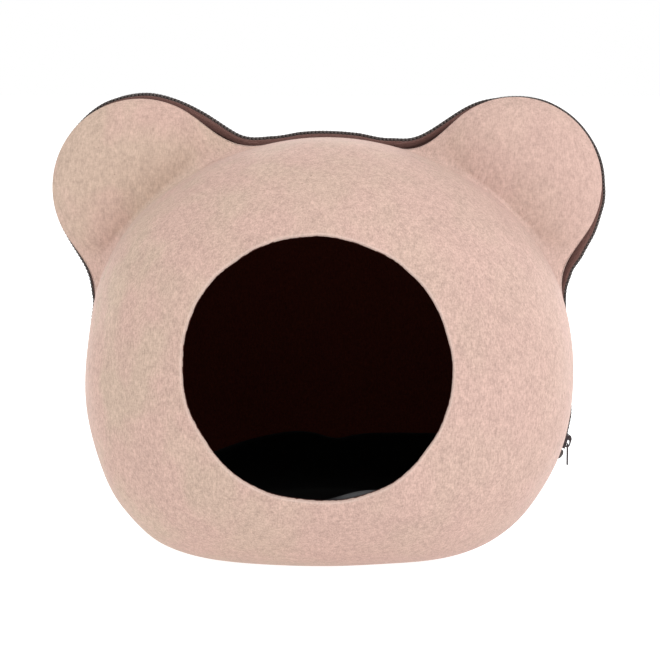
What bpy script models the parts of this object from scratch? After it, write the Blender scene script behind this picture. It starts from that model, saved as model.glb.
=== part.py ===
"""Felt cat cave: a bear-headed pet house of two moulded felt halves.

The front half has the round door, the back half is plain, and both are drawn up into the same
two ears. A zip joins them over the ears and the top, from low on the left side to low on the
right side, where its slider, pull and end stop are. Below the zip's ends the halves are sewn
edge to edge under the flat base. A padded mat with its rim turned up the wall lies inside.

Every piece is worked out from one formula, felt_level, which tells how far a point lies outside
the felt. Points are given from the heart of the cave, the middle of the door's circle carried
back into the seam plane: +X to the right, +Y to the back, +Z up. A bearing turns in the seam
plane from +X towards +Z, and a tilt leans from straight forward (0) to the seam plane (90 deg).
"""
import math

import bmesh
import bpy
import numpy as np
from mathutils import Matrix

MM = 0.001
NAME = "felt_cat_cave"

# ---- Placing: the ground is z = 0 and the origin is under the middle of the whole thing ----
HEART = (0.28 * MM, -2.10 * MM, 176.5 * MM)

# ---- Body: a rounded box, fuller below the middle than above it ----
BODY_CENTRE_Z = -26.0 * MM
BODY_HALF_WIDTH = 200.8 * MM
BODY_HALF_DEPTH = 172.0 * MM
BODY_RISE = 189.7 * MM
BODY_DROP = 163.4 * MM
BODY_RISE_POWER = 2.25
BODY_DROP_POWER = 2.35
BODY_DEPTH_POWER = 2.5

# ---- Base: the belly rounds in softly, and the felt is pressed flat on the ground ----
BELLY_FLOOR = -9.8 * MM
BELLY_BLEND = 32.7 * MM
BASE_BLEND = 1.5 * MM

# ---- Ears: round pads, centre x, centre z, radius, half thickness ----
EARS = (
    # name,   x,           z,           radius,     half thickness
    ("left", -154.1 * MM, 125.9 * MM, 77.1 * MM, 28.3 * MM),
    ("right", 153.0 * MM, 130.6 * MM, 74.3 * MM, 28.3 * MM),
)
EAR_POWER = 2.35
CREASE_BLEND = 10.5 * MM
NECK_BLEND = 55.0 * MM
NECK_DEPTH = 13.7 * MM

# ---- Unevenness of the hand-moulded rim, around the body's centre ----
SWELLS = (
    # bearing deg, spread deg, height
    (0.0, 22.0, 3.1 * MM),
    (90.0, 20.0, 5.6 * MM),
    (180.0, 22.0, 0.1 * MM),
    (225.0, 20.0, 7.9 * MM),
    (290.0, 14.0, -2.0 * MM),
    (315.0, 20.0, 4.8 * MM),
)
SWELL_INNER = 90.0 * MM
# Below the left ear the halves are pinched off the seam: bearing deg, spread deg, depth
PINCH = (166.7, 10.0, 2.5 * MM)
PINCH_DEPTH = 20.0 * MM

# ---- Felt and door ----
FELT = 4.5 * MM
DOOR_RADIUS = 102.7 * MM
DOOR_WAVES = (
    # turns, cosine part, sine part
    (2, 1.1 * MM, -1.1 * MM),
    (3, -0.2 * MM, 0.3 * MM),
)

# ---- Zip: the felt stops short of the seam plane along it, and meets it below ----
ZIP_END_RIGHT = -28.0
ZIP_END_LEFT = 205.5
CHAIN_END_RIGHT = -24.2
SLOT_HALF = 9.0 * MM
SLOT_TAPER = 4.5
SEWN_HALF = 0.15 * MM
TAPE = 1.0 * MM
TAPE_GAP = 2.2 * MM
TAPE_SHOULDER = 3.0 * MM
TAPE_UNDER_FELT = 4.5 * MM
TAPE_RIDGE_HALF = 3.1 * MM
TAPE_EDGE_HALF = 0.3 * MM
TAPE_TAIL = 8.0
TAIL_DIVE = 2.4
CHAIN_HALF = 2.9 * MM
CHAIN_THICK = 2.2 * MM
CHAIN_TO_TAPE = 0.3 * MM
CHAIN_RISE = (
    # bearing deg, height of the teeth above the felt's outline
    (-28.0, 3.4 * MM),
    (-22.5, 3.2 * MM),
    (-18.0, 2.6 * MM),
    (-11.0, -0.2 * MM),
    (0.0, -0.8 * MM),
    (12.0, -1.1 * MM),
    (16.0, 0.3 * MM),
    (19.0, 4.2 * MM),
    (22.0, 5.1 * MM),
    (26.0, 2.8 * MM),
    (31.0, 0.5 * MM),
    (40.0, -0.9 * MM),
    (47.0, -1.3 * MM),
    (55.0, -3.0 * MM),
    (60.5, 0.6 * MM),
    (66.0, -0.4 * MM),
    (73.0, 2.7 * MM),
    (82.0, 4.5 * MM),
    (97.0, 5.0 * MM),
    (105.0, 4.0 * MM),
    (112.5, 1.5 * MM),
    (118.0, 6.3 * MM),
    (124.0, 3.0 * MM),
    (132.0, 0.5 * MM),
    (140.0, -1.8 * MM),
    (148.0, -3.0 * MM),
    (156.0, -1.8 * MM),
    (163.5, -4.9 * MM),
    (170.0, -2.2 * MM),
    (176.0, 0.6 * MM),
    (190.0, 0.6 * MM),
    (205.5, 0.0 * MM),
)

# ---- Slider and pull, in the slider's own frame: x down the zip, y to the back, z outwards ----
SLIDER_BEARING = -22.7
SLIDER_LENGTH = 10.8 * MM
SLIDER_HALF_WIDTH = 4.6 * MM
SLIDER_PLATE = 0.8 * MM
SLIDER_CLEAR = 0.35 * MM
SLIDER_SIDE_DROP = 1.9 * MM
SLIDER_NECK_HALF = 0.8 * MM
SLIDER_NECK_LENGTH = 1.6 * MM
TAPE_PART = 1.3 * MM
TAPE_PART_SPREAD = 1.6
BRIDGE = (
    # outer x, outer z, inner x, inner z of the arch, z above the plate
    (-5.4 * MM, -0.2 * MM, -0.8 * MM, -0.2 * MM),
    (-5.2 * MM, 1.2 * MM, -0.8 * MM, 0.9 * MM),
    (-4.3 * MM, 2.5 * MM, -0.6 * MM, 1.6 * MM),
    (-2.6 * MM, 3.4 * MM, 0.1 * MM, 2.1 * MM),
    (0.5 * MM, 3.55 * MM, 1.4 * MM, 2.4 * MM),
    (3.4 * MM, 3.5 * MM, 3.2 * MM, 2.45 * MM),
    (4.8 * MM, 2.9 * MM, 3.95 * MM, 2.0 * MM),
    (5.4 * MM, 1.6 * MM, 4.2 * MM, 1.2 * MM),
    (5.4 * MM, -0.2 * MM, 4.2 * MM, -0.2 * MM),
)
BRIDGE_HALF_WIDTH = 1.0 * MM
PULL_PIVOT = (2.9 * MM, 1.4 * MM)
PULL_LENGTH = 18.0 * MM
PULL_THICK = 1.2 * MM
PULL_HALF_TOP = 2.9 * MM
PULL_HALF_FOOT = 3.4 * MM
PULL_EYE_HALF = 1.45 * MM
PULL_EYE_TOP = 1.4 * MM
PULL_EYE_LENGTH = 3.0 * MM

# ---- End stop: a moulded block over both tapes, beyond the slider ----
STOP_FROM = -25.0
STOP_TO = -27.1
STOP = (
    # share of its length, height above the teeth's top, half width
    (0.0, 0.5 * MM, 2.0 * MM),
    (0.1, 1.4 * MM, 2.8 * MM),
    (0.35, 1.9 * MM, 3.1 * MM),
    (0.65, 1.4 * MM, 3.1 * MM),
    (0.9, 0.5 * MM, 2.8 * MM),
    (1.0, -0.3 * MM, 2.0 * MM),
)

# ---- Mat: its underside follows the felt, its rim is turned up the wall ----
MAT_THICK = 36.0 * MM
MAT_RIM_Z = 66.0 * MM
MAT_WAVES = (
    # turns, cosine part, sine part
    (2, 1.5 * MM, 1.0 * MM),
    (3, 1.2 * MM, -1.6 * MM),
    (5, 0.8 * MM, 1.1 * MM),
)
MAT_GAP_FLOOR = 0.4 * MM
MAT_GAP_WALL = 3.4 * MM
MAT_EYE_Z = -20.0 * MM

# ---- How finely the solids are divided ----
COLUMNS = 82
FRONT_ROWS = 12
BACK_ROWS = 15
ROWS_TO_SEAM = 1.6
EDGE_ROW = 3.5 * MM
MAT_COLUMNS = 36
MAT_ROWS = 7

COLOURS = {
    # material, red, green, blue, roughness, metallic
    "felt": (0.63, 0.43, 0.35, 0.95, 0.0),
    "zip_tape": (0.075, 0.030, 0.022, 0.85, 0.0),
    "zip_teeth": (0.055, 0.050, 0.050, 0.45, 0.0),
    "zip_metal": (0.040, 0.038, 0.038, 0.35, 0.8),
    "mat": (0.010, 0.010, 0.011, 0.95, 0.0),
}


# ---------------------------------------------------------------- the shape's formula
def smooth_min(a, b, blend):
    """The smaller of a and b, rounded over where they differ by less than blend."""
    near = np.maximum(blend - np.abs(a - b), 0.0) / blend
    return np.minimum(a, b) - near * near * blend / 4.0


def smooth_max(a, b, blend):
    return -smooth_min(-a, -b, blend)


def bulge(offset, half_width, rise, drop, half_depth, rise_power, drop_power, depth_power):
    """How far a point lies outside a rounded box, along the ray from the box's centre."""
    upper = offset[..., 2] > 0.0
    height = np.where(upper, rise, drop)
    power = np.where(upper, rise_power, drop_power)
    across = np.abs(offset[..., 0] / half_width) ** power + np.abs(offset[..., 2] / height) ** power
    deep = np.abs(offset[..., 1] / half_depth) ** depth_power
    size = (across ** (depth_power / power) + deep) ** (1.0 / depth_power)
    return np.linalg.norm(offset, axis=-1) * (1.0 - 1.0 / np.maximum(size, 1e-6))


def swell(offset):
    """Height of the rim's unevenness, less the pinch beside the seam, from the body's centre."""
    bearing = np.degrees(np.arctan2(offset[..., 2], offset[..., 0]))
    out = np.hypot(offset[..., 0], offset[..., 2])
    height = np.zeros_like(bearing)
    for centre, spread, top in SWELLS:
        away = (bearing - centre + 180.0) % 360.0 - 180.0
        height += top * np.exp(-((away / spread) ** 2))
    centre, spread, deep = PINCH
    away = (bearing - centre + 180.0) % 360.0 - 180.0
    off_seam = 1.0 - np.exp(-((offset[..., 1] / PINCH_DEPTH) ** 2))
    height -= deep * np.exp(-((away / spread) ** 2)) * off_seam
    return height * (1.0 - np.exp(-((out / SWELL_INNER) ** 2)))


def felt_level(point):
    """Distance of a point outside the felt's outer face; below zero it is inside."""
    body_offset = point - np.array((0.0, 0.0, BODY_CENTRE_Z))
    body = bulge(body_offset, BODY_HALF_WIDTH, BODY_RISE, BODY_DROP, BODY_HALF_DEPTH,
                 BODY_RISE_POWER, BODY_DROP_POWER, BODY_DEPTH_POWER) - swell(body_offset)
    blend = CREASE_BLEND + (NECK_BLEND - CREASE_BLEND) * np.exp(-((point[..., 1] / NECK_DEPTH) ** 2))
    level = body
    for _name, x, z, radius, half_thick in EARS:
        ear = bulge(point - np.array((x, 0.0, z)), radius, radius, radius, half_thick,
                    2.0, 2.0, EAR_POWER)
        level = smooth_min(level, ear, blend)
    height = point[..., 2] + HEART[2]
    level = smooth_max(level, BELLY_FLOOR - height, BELLY_BLEND)
    return smooth_max(level, -height, BASE_BLEND)


def reach(direction, start=(0.0, 0.0, 0.0)):
    """Where rays from start meet the felt's outer face, found by halving."""
    start = np.array(start)
    near = np.zeros(direction.shape[:-1])
    far = np.full(direction.shape[:-1], 0.4)
    for _step in range(40):
        middle = (near + far) / 2.0
        inside = felt_level(start + direction * middle[..., None]) < 0.0
        near = np.where(inside, middle, near)
        far = np.where(inside, far, middle)
    return start + direction * near[..., None]


def outward(point):
    """Unit normal of the felt's outer face at points on it."""
    step = 0.05 * MM
    slope = [felt_level(point + axis) - felt_level(point - axis) for axis in np.eye(3) * step]
    slope = np.stack(slope, axis=-1)
    return slope / np.linalg.norm(slope, axis=-1, keepdims=True)


def ray(bearing, tilt):
    """Direction for a bearing and a tilt, both in degrees, on the front side."""
    b = np.radians(bearing)
    t = np.radians(tilt)
    return np.stack((np.cos(b) * np.sin(t), -np.cos(t), np.sin(b) * np.sin(t)), axis=-1)


def solve_tilt(bearing, reached):
    """The tilt at which reached(point) first holds, going from the door back to the seam."""
    low = np.zeros_like(bearing)
    high = np.full_like(bearing, 90.0)
    for _step in range(34):
        middle = (low + high) / 2.0
        done = reached(reach(ray(bearing, middle)))
        low = np.where(done, low, middle)
        high = np.where(done, middle, high)
    return high


# ---------------------------------------------------------------- lines on the felt
def past_zip_end(bearing):
    """Degrees by which a bearing lies beyond the zip's nearer end, negative along the zip."""
    return np.maximum(ZIP_END_RIGHT - bearing, bearing - ZIP_END_LEFT)


def slot_half(bearing):
    """Half the width between the two felt edges: the zip's slot, closed where they are sewn."""
    past = np.clip(past_zip_end(bearing) / SLOT_TAPER, 0.0, 1.0)
    return np.maximum(SLOT_HALF * np.sqrt(1.0 - past * past), SEWN_HALF)


def door_radius(bearing):
    angle = np.radians(bearing)
    waves = [c * np.cos(n * angle) + s * np.sin(n * angle) for n, c, s in DOOR_WAVES]
    return DOOR_RADIUS + sum(waves)


def column_bearings():
    """Bearings of the shells' columns: even steps along the seam, closer at the zip's ends."""
    fine = np.linspace(-90.0, 270.0, 1441)
    points = reach(ray(fine, np.full_like(fine, 90.0)))
    length = np.concatenate(([0.0], np.cumsum(np.linalg.norm(np.diff(points, axis=0), axis=1))))
    even = np.interp(np.linspace(0.0, length[-1], COLUMNS + 1), length, fine)
    to_chain = ZIP_END_RIGHT - CHAIN_END_RIGHT
    offsets = np.array((-6.0, to_chain, -1.6, 0.0, TAIL_DIVE / 2, TAIL_DIVE, 3.6, SLOT_TAPER, TAPE_TAIL))
    ends = np.concatenate((ZIP_END_RIGHT - offsets, ZIP_END_LEFT + offsets))
    apart = np.abs(even[:, None] - ends[None, :]).min(axis=1)
    kept = even[apart > 1.3]
    return np.unique(np.concatenate((kept, ends)))


def chain_rise(bearing):
    """Height of the teeth above the outline, eased from each row of CHAIN_RISE to the next."""
    marks = np.array([row[0] for row in CHAIN_RISE])
    heights = np.array([row[1] for row in CHAIN_RISE])
    clipped = np.clip(bearing, marks[0], marks[-1])
    after = np.clip(np.searchsorted(marks, clipped, side="right"), 1, len(marks) - 1)
    part = (clipped - marks[after - 1]) / (marks[after] - marks[after - 1])
    eased = part * part * (3.0 - 2.0 * part)
    return heights[after - 1] + (heights[after] - heights[after - 1]) * eased


def chain_top(bearing):
    """Points along the top of the teeth, in the seam plane."""
    outline = reach(ray(bearing, np.full_like(bearing, 90.0)))
    side = outline / np.linalg.norm(outline, axis=-1, keepdims=True)
    return outline + side * chain_rise(bearing)[..., None]


def chain_frame(bearing):
    """Top point, direction down the right-hand side, and outward direction at bearings."""
    step = 0.4
    top = chain_top(bearing)
    along = chain_top(bearing - step) - chain_top(bearing + step)
    along /= np.linalg.norm(along, axis=-1, keepdims=True)
    out = np.stack((-along[..., 2], np.zeros_like(bearing), along[..., 0]), axis=-1)
    return top, along, out


# ---------------------------------------------------------------- mesh helpers
def grid_mesh(name, points):
    """A mesh on a rows-by-columns array of points; rows or columns that meet are welded."""
    rows, columns = points.shape[:2]
    bm = bmesh.new()
    bmesh.ops.create_grid(bm, x_segments=columns - 1, y_segments=rows - 1, size=0.5)
    for vert in bm.verts:
        column = round((vert.co.x + 0.5) * (columns - 1))
        row = round((vert.co.y + 0.5) * (rows - 1))
        vert.co = points[row, column]
    bmesh.ops.remove_doubles(bm, verts=bm.verts, dist=0.01 * MM)
    bmesh.ops.dissolve_degenerate(bm, edges=bm.edges, dist=0.001 * MM)
    mesh = bpy.data.meshes.new(name)
    bm.to_mesh(mesh)
    bm.free()
    return mesh


def close_and_face_out(mesh):
    """Fill open ends and turn every face outwards."""
    bm = bmesh.new()
    bm.from_mesh(mesh)
    bmesh.ops.holes_fill(bm, edges=bm.edges, sides=0)
    bmesh.ops.recalc_face_normals(bm, faces=bm.faces)
    bm.to_mesh(mesh)
    bm.free()


def material(name):
    red, green, blue, roughness, metallic = COLOURS[name]
    mat = bpy.data.materials.get(name) or bpy.data.materials.new(name)
    mat.use_nodes = True
    mat.diffuse_color = (red, green, blue, 1.0)
    shader = mat.node_tree.nodes["Principled BSDF"]
    shader.inputs["Base Color"].default_value = (red, green, blue, 1.0)
    shader.inputs["Roughness"].default_value = roughness
    shader.inputs["Metallic"].default_value = metallic
    return mat


def add_object(name, data, material_name, collection, location=HEART):
    obj = bpy.data.objects.new(name, data)
    obj.data.materials.append(material(material_name))
    obj.location = location
    collection.objects.link(obj)
    return obj


def add_thickness(obj, thickness):
    """Give an open sheet its thickness on the inner side."""
    solid = obj.modifiers.new("thickness", "SOLIDIFY")
    solid.thickness = thickness
    solid.offset = -1.0
    solid.use_rim = True


def smooth(obj, angle):
    obj.data.shade_smooth()
    obj.data.set_sharp_from_angle(angle=math.radians(angle))


# ---------------------------------------------------------------- felt halves
def half_shell(name, start_tilt, rows, side, collection):
    """One felt half, from its start tilt out to the seam; side is -1 in front, +1 behind."""
    bearing = column_bearings()
    bearing[-1] = bearing[0] + 360.0
    edge_tilt = solve_tilt(bearing, lambda p: -p[..., 1] <= slot_half(bearing))
    near_tilt = solve_tilt(bearing, lambda p: -p[..., 1] <= slot_half(bearing) + EDGE_ROW)
    part = 1.0 - np.linspace(1.0, 0.0, rows)[:, None] ** ROWS_TO_SEAM
    tilt = start_tilt(bearing) + (near_tilt - start_tilt(bearing)) * part
    tilt = np.vstack((tilt, edge_tilt))
    points = reach(ray(np.broadcast_to(bearing, tilt.shape), tilt))
    points[..., 1] *= -side
    if side < 0:
        points = points[:, ::-1]
    obj = add_object(name, grid_mesh(name, points), "felt", collection)
    add_thickness(obj, FELT)
    smooth(obj, 50.0)
    return obj


def door_tilt(bearing):
    return solve_tilt(bearing, lambda p: np.hypot(p[..., 0], p[..., 2]) >= door_radius(bearing))


def pole_tilt(bearing):
    return np.zeros_like(bearing)


# ---------------------------------------------------------------- zip
def zip_tape(name, side, collection):
    """One tape: sewn under the felt's edge, rising to a ridge under the teeth, tails tucked in."""
    bearing = column_bearings()
    bearing = bearing[past_zip_end(bearing) <= TAPE_TAIL + 0.01]
    top, _along, out = chain_frame(bearing)
    dive = np.clip(past_zip_end(bearing) / TAIL_DIVE, 0.0, 1.0)[:, None]
    parting = TAPE_PART * np.exp(-(((bearing - SLIDER_BEARING) / TAPE_PART_SPREAD + 1.2) ** 2))
    below = FELT + TAPE_GAP

    def on_felt(depth):
        tilt = solve_tilt(bearing, lambda p: -p[..., 1] <= depth)
        face = reach(ray(bearing, tilt))
        return face - outward(face) * below

    def ridge(depth):
        point = top - out * (CHAIN_THICK + CHAIN_TO_TAPE)
        point[..., 1] = -depth
        under = on_felt(depth)
        return point * (1.0 - dive) + under * dive

    half = np.full_like(bearing, SLOT_HALF)
    lines = (on_felt(half + TAPE_UNDER_FELT), on_felt(half - TAPE_SHOULDER),
             ridge(np.full_like(bearing, TAPE_RIDGE_HALF)), ridge(TAPE_EDGE_HALF + parting))
    points = np.stack(lines)
    points[..., 1] *= -side
    if side > 0:
        points = points[:, ::-1]
    obj = add_object(name, grid_mesh(name, points[::-1]), "zip_tape", collection)
    add_thickness(obj, TAPE)
    smooth(obj, 40.0)
    return obj


def zip_chain(collection):
    """The closed row of teeth as one bar with rounded shoulders."""
    bearing = column_bearings()
    bearing = bearing[(bearing > CHAIN_END_RIGHT - 0.01) & (bearing < ZIP_END_LEFT + 0.01)]
    top, _along, out = chain_frame(bearing)
    section = (
        # share of the half width, share of the thickness below the top
        (1.0, 0.85), (1.0, 0.35), (0.62, 0.0), (-0.62, 0.0),
        (-1.0, 0.35), (-1.0, 0.85), (-0.8, 1.0), (0.8, 1.0),
    )
    rings = []
    for across, down in section + section[:1]:
        line = top - out * (CHAIN_THICK * down)
        line[..., 1] = CHAIN_HALF * across
        rings.append(line)
    mesh = grid_mesh("zip_chain", np.stack(rings))
    close_and_face_out(mesh)
    obj = add_object("zip_chain", mesh, "zip_teeth", collection)
    smooth(obj, 40.0)
    return obj


def slider_matrix():
    """Frame of the slider: x down the zip, y to the back, z outwards, on top of the teeth."""
    top, along, out = chain_frame(np.array([SLIDER_BEARING]))
    matrix = Matrix.Identity(4)
    axes = (along[0], np.array((0.0, 1.0, 0.0)), out[0])
    for column, axis in enumerate(axes):
        for row in range(3):
            matrix[row][column] = axis[row]
    matrix.translation = top[0] + np.array(HEART)
    return matrix


def add_box(bm, low, high):
    made = bmesh.ops.create_cube(bm, size=1.0)
    size = [b - a for a, b in zip(low, high)]
    bmesh.ops.scale(bm, vec=size, verts=made["verts"])
    bmesh.ops.translate(bm, vec=[(a + b) / 2.0 for a, b in zip(low, high)], verts=made["verts"])


def box_object(name, low, high, collection):
    bm = bmesh.new()
    add_box(bm, low, high)
    mesh = bpy.data.meshes.new(name)
    bm.to_mesh(mesh)
    bm.free()
    obj = bpy.data.objects.new(name, mesh)
    obj.hide_render = True
    obj.display_type = "WIRE"
    collection.objects.link(obj)
    return obj


def bridge_mesh(plate_top):
    """The arch that carries the pull: its outer and inner edges from BRIDGE, its feet in the plate."""
    line = np.array(BRIDGE)
    outer, inner = line[:, :2], line[:, 2:]
    rings = []
    corners = ((1, outer), (-1, outer), (-1, inner), (1, inner))
    for wide, edge in corners + corners[:1]:
        across = np.full(len(edge), wide * BRIDGE_HALF_WIDTH)
        rings.append(np.stack((edge[:, 0], across, plate_top + edge[:, 1]), axis=1))
    mesh = grid_mesh("bridge", np.stack(rings))
    close_and_face_out(mesh)
    return mesh


def zip_slider(collection, cutters):
    """Slider: plate over the teeth, two cheeks, neck through the parted tapes, plate inside."""
    half = SLIDER_LENGTH / 2.0
    width = SLIDER_HALF_WIDTH
    plate_low = SLIDER_CLEAR
    plate_top = plate_low + SLIDER_PLATE
    cheek_in = CHAIN_HALF + SLIDER_CLEAR
    tape_under = -(CHAIN_THICK + CHAIN_TO_TAPE + TAPE + 2.0 * SLIDER_CLEAR)
    inner_half = TAPE_RIDGE_HALF - SLIDER_CLEAR
    inner_low = tape_under - SLIDER_PLATE
    body = box_object("zip_slider", (-half, -width, plate_low), (half, width, plate_top), collection)
    body.hide_render = False
    body.display_type = "TEXTURED"
    lap = 0.2 * MM
    cheek_low = plate_low - SLIDER_SIDE_DROP
    neck_x = half + SLIDER_NECK_LENGTH
    nose = width * 0.7
    blocks = (
        # name, low corner, high corner
        ("cheek_front", (-half, -width, cheek_low), (half, -cheek_in, plate_low + lap)),
        ("cheek_back", (-half, cheek_in, cheek_low), (half, width, plate_low + lap)),
        ("nose", (half - lap, -nose, plate_low), (neck_x, nose, plate_top)),
        ("neck", (neck_x - SLIDER_NECK_LENGTH / 2, -SLIDER_NECK_HALF, inner_low),
         (neck_x, SLIDER_NECK_HALF, plate_low + lap)),
        ("inner_plate", (-half, -inner_half, inner_low), (neck_x, inner_half, tape_under)),
    )
    joined = [box_object(name, low, high, cutters) for name, low, high in blocks]
    bridge = bpy.data.objects.new("bridge", bridge_mesh(plate_top))
    bridge.hide_render = True
    bridge.display_type = "WIRE"
    cutters.objects.link(bridge)
    for block in joined + [bridge]:
        union(body, block)
        block.parent = body
    body.data.materials.append(material("zip_metal"))
    body.matrix_world = slider_matrix()
    return body


def union(body, other):
    join = body.modifiers.new(other.name, "BOOLEAN")
    join.operation = "UNION"
    join.solver = "EXACT"
    join.object = other


def zip_pull(collection):
    """Flat pull tab hanging straight down from the bridge, its eye around the bridge's leg."""
    curve = bpy.data.curves.new("zip_pull", "CURVE")
    curve.dimensions = "2D"
    curve.fill_mode = "BOTH"
    curve.extrude = PULL_THICK / 2.0
    corner = 1.2 * MM
    foot = PULL_LENGTH - PULL_EYE_TOP / 2.0
    head = -PULL_EYE_TOP / 2.0
    outer = [(-PULL_HALF_TOP + corner * 0.6, -head), (PULL_HALF_TOP - corner * 0.6, -head),
             (PULL_HALF_TOP, -head - corner * 0.6), (PULL_HALF_FOOT, -foot + corner)]
    outer += [(PULL_HALF_FOOT - corner * 0.3, -foot + corner * 0.3), (PULL_HALF_FOOT - corner, -foot)]
    outer += [(-x, y) for x, y in reversed(outer[3:])] + [(-PULL_HALF_TOP, -head - corner * 0.6)]
    eye_low = -(PULL_EYE_TOP / 2.0 + PULL_EYE_LENGTH)
    eye_high = -PULL_EYE_TOP / 2.0
    eye = [(-PULL_EYE_HALF, eye_high), (-PULL_EYE_HALF, eye_low), (PULL_EYE_HALF, eye_low),
           (PULL_EYE_HALF, eye_high)]
    for outline in (outer, eye):
        spline = curve.splines.new("POLY")
        spline.points.add(len(outline) - 1)
        for point, (x, y) in zip(spline.points, outline):
            point.co = (x, y, 0.0, 1.0)
        spline.use_cyclic_u = True
    obj = add_object("zip_pull", curve, "zip_metal", collection)
    frame = slider_matrix()
    plate_top = SLIDER_CLEAR + SLIDER_PLATE
    pivot = frame @ Matrix.Translation((PULL_PIVOT[0], 0.0, plate_top + PULL_PIVOT[1]))
    stand = Matrix(((0.0, 0.0, 1.0), (1.0, 0.0, 0.0), (0.0, 1.0, 0.0)))
    obj.matrix_world = Matrix.Translation(pivot.translation) @ stand.to_4x4()
    return obj


def zip_stop(collection):
    """The end stop: rounded sections carried along the line of the teeth past the slider."""
    share, height, half = np.array(STOP).T
    top, _along, out = chain_frame(STOP_FROM + (STOP_TO - STOP_FROM) * share)
    section = (
        # share of the half width, share of the way from the top down to the tape
        (1.0, 1.0), (1.0, 0.4), (0.6, 0.0), (-0.6, 0.0), (-1.0, 0.4), (-1.0, 1.0),
    )
    rings = []
    for across, down in section + section[:1]:
        line = top + out * (height - (height + CHAIN_THICK) * down)[:, None]
        line[:, 1] = half * across
        rings.append(line)
    mesh = grid_mesh("zip_stop", np.stack(rings))
    close_and_face_out(mesh)
    obj = add_object("zip_stop", mesh, "zip_teeth", collection)
    smooth(obj, 40.0)
    return obj


# ---------------------------------------------------------------- mat
def mat_pad(collection):
    """Padded mat: underside a little inside the felt, rim turned up, top dished."""
    turn = np.linspace(0.0, 360.0, MAT_COLUMNS + 1)
    angle = np.radians(turn)
    waves = [c * np.cos(n * angle) + s * np.sin(n * angle) for n, c, s in MAT_WAVES]
    rim_z = MAT_RIM_Z - HEART[2] + sum(waves)
    eye = np.array((0.0, 0.0, MAT_EYE_Z))

    def down_ray(lean):
        a = np.radians(lean)
        b = np.broadcast_to(angle, lean.shape)
        return np.stack((np.cos(b) * np.sin(a), np.sin(b) * np.sin(a), -np.cos(a)), axis=-1)

    low = np.zeros_like(angle)
    high = np.full_like(angle, 110.0)
    for _step in range(34):
        middle = (low + high) / 2.0
        above = reach(down_ray(middle), eye)[..., 2] > rim_z
        low = np.where(above, low, middle)
        high = np.where(above, middle, high)
    part = np.linspace(0.0, 1.0, MAT_ROWS + 1)[:, None] ** 0.85
    face = reach(down_ray(high * part), eye)
    gap = MAT_GAP_FLOOR + (MAT_GAP_WALL - MAT_GAP_FLOOR) * np.clip(part * 1.6 - 0.6, 0.0, 1.0)
    under = face - outward(face) * (FELT + gap[..., None])
    towards = eye - under
    towards /= np.linalg.norm(towards, axis=-1, keepdims=True)
    thick = MAT_THICK * np.sqrt(np.clip(1.0 - part ** 3, 0.0, 1.0))
    over = under + towards * thick[..., None]
    points = np.concatenate((under, over[::-1][1:]))
    mesh = grid_mesh("mat", points)
    close_and_face_out(mesh)
    obj = add_object("mat", mesh, "mat", collection)
    smooth(obj, 60.0)
    return obj


def main():
    for obj in list(bpy.data.objects):
        bpy.data.objects.remove(obj, do_unlink=True)
    collection = bpy.data.collections.new(NAME)
    cutters = bpy.data.collections.new("cutters")
    bpy.context.scene.collection.children.link(collection)
    bpy.context.scene.collection.children.link(cutters)
    half_shell("front_shell", door_tilt, FRONT_ROWS, -1, collection)
    half_shell("back_shell", pole_tilt, BACK_ROWS, 1, collection)
    zip_tape("zip_tape_front", -1, collection)
    zip_tape("zip_tape_back", 1, collection)
    zip_chain(collection)
    zip_slider(collection, cutters)
    zip_pull(collection)
    zip_stop(collection)
    mat_pad(collection)


main()
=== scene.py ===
# %% [markdown]
# # A felt cat cave
# The real object is a pet house of two moulded felt halves. Both halves are drawn up into the same
# two round ears, and the front half has a round door cut in it. A zip joins the halves over the
# ears and the top, and a black padded mat lies inside. This lesson dresses the CAD solids: the
# solids stay as the frame, and each soft one is replaced by a finer surface in the same place.

import math

import bmesh
import bpy
import numpy as np
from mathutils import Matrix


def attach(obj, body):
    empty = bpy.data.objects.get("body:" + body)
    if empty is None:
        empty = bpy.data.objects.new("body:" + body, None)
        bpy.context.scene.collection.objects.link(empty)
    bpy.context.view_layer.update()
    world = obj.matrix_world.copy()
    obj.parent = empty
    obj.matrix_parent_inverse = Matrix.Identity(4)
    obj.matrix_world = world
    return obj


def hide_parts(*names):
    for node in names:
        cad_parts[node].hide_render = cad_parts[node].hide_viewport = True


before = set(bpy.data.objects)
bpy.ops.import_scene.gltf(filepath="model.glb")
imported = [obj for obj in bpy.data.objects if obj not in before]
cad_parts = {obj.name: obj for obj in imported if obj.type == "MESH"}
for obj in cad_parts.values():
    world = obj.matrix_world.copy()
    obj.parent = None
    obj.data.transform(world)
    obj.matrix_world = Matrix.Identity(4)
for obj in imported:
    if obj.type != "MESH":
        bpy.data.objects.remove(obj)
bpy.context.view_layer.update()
MM = 0.001
print("nodes:", sorted(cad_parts))

# %% [markdown]
# ## The camera
# The picture was taken from a little above and a little to the right of straight ahead, with a
# long lens. The place below came from fitting the outline and the door's circle. A small shift
# puts the cave where the picture has it, without turning the camera.

# %% Camera
AZIMUTH = 3.3
ELEVATION = 8.6
DISTANCE = 1.8
LOOK_AT = np.array((0.28, -2.10, 165.2)) * MM
LENS = 117.3
SENSOR = 36.0
PICTURE = 660
SHIFT = (2.0 / PICTURE, 23.0 / PICTURE)
FARTHEST = 50.0


def aimed(name, data, azimuth, elevation, distance):
    """An object at distance times the unit vector of the azimuth and elevation from the point
    looked at, turned to face that point."""
    turn, rise = np.radians((azimuth, elevation))
    back = np.array((np.sin(turn) * np.cos(rise), -np.cos(turn) * np.cos(rise), np.sin(rise)))
    obj = bpy.data.objects.new(name, data)
    obj.location = LOOK_AT + back * distance
    obj.rotation_euler = (math.radians(90.0 - elevation), 0.0, math.radians(azimuth))
    bpy.context.scene.collection.objects.link(obj)
    return obj


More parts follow.
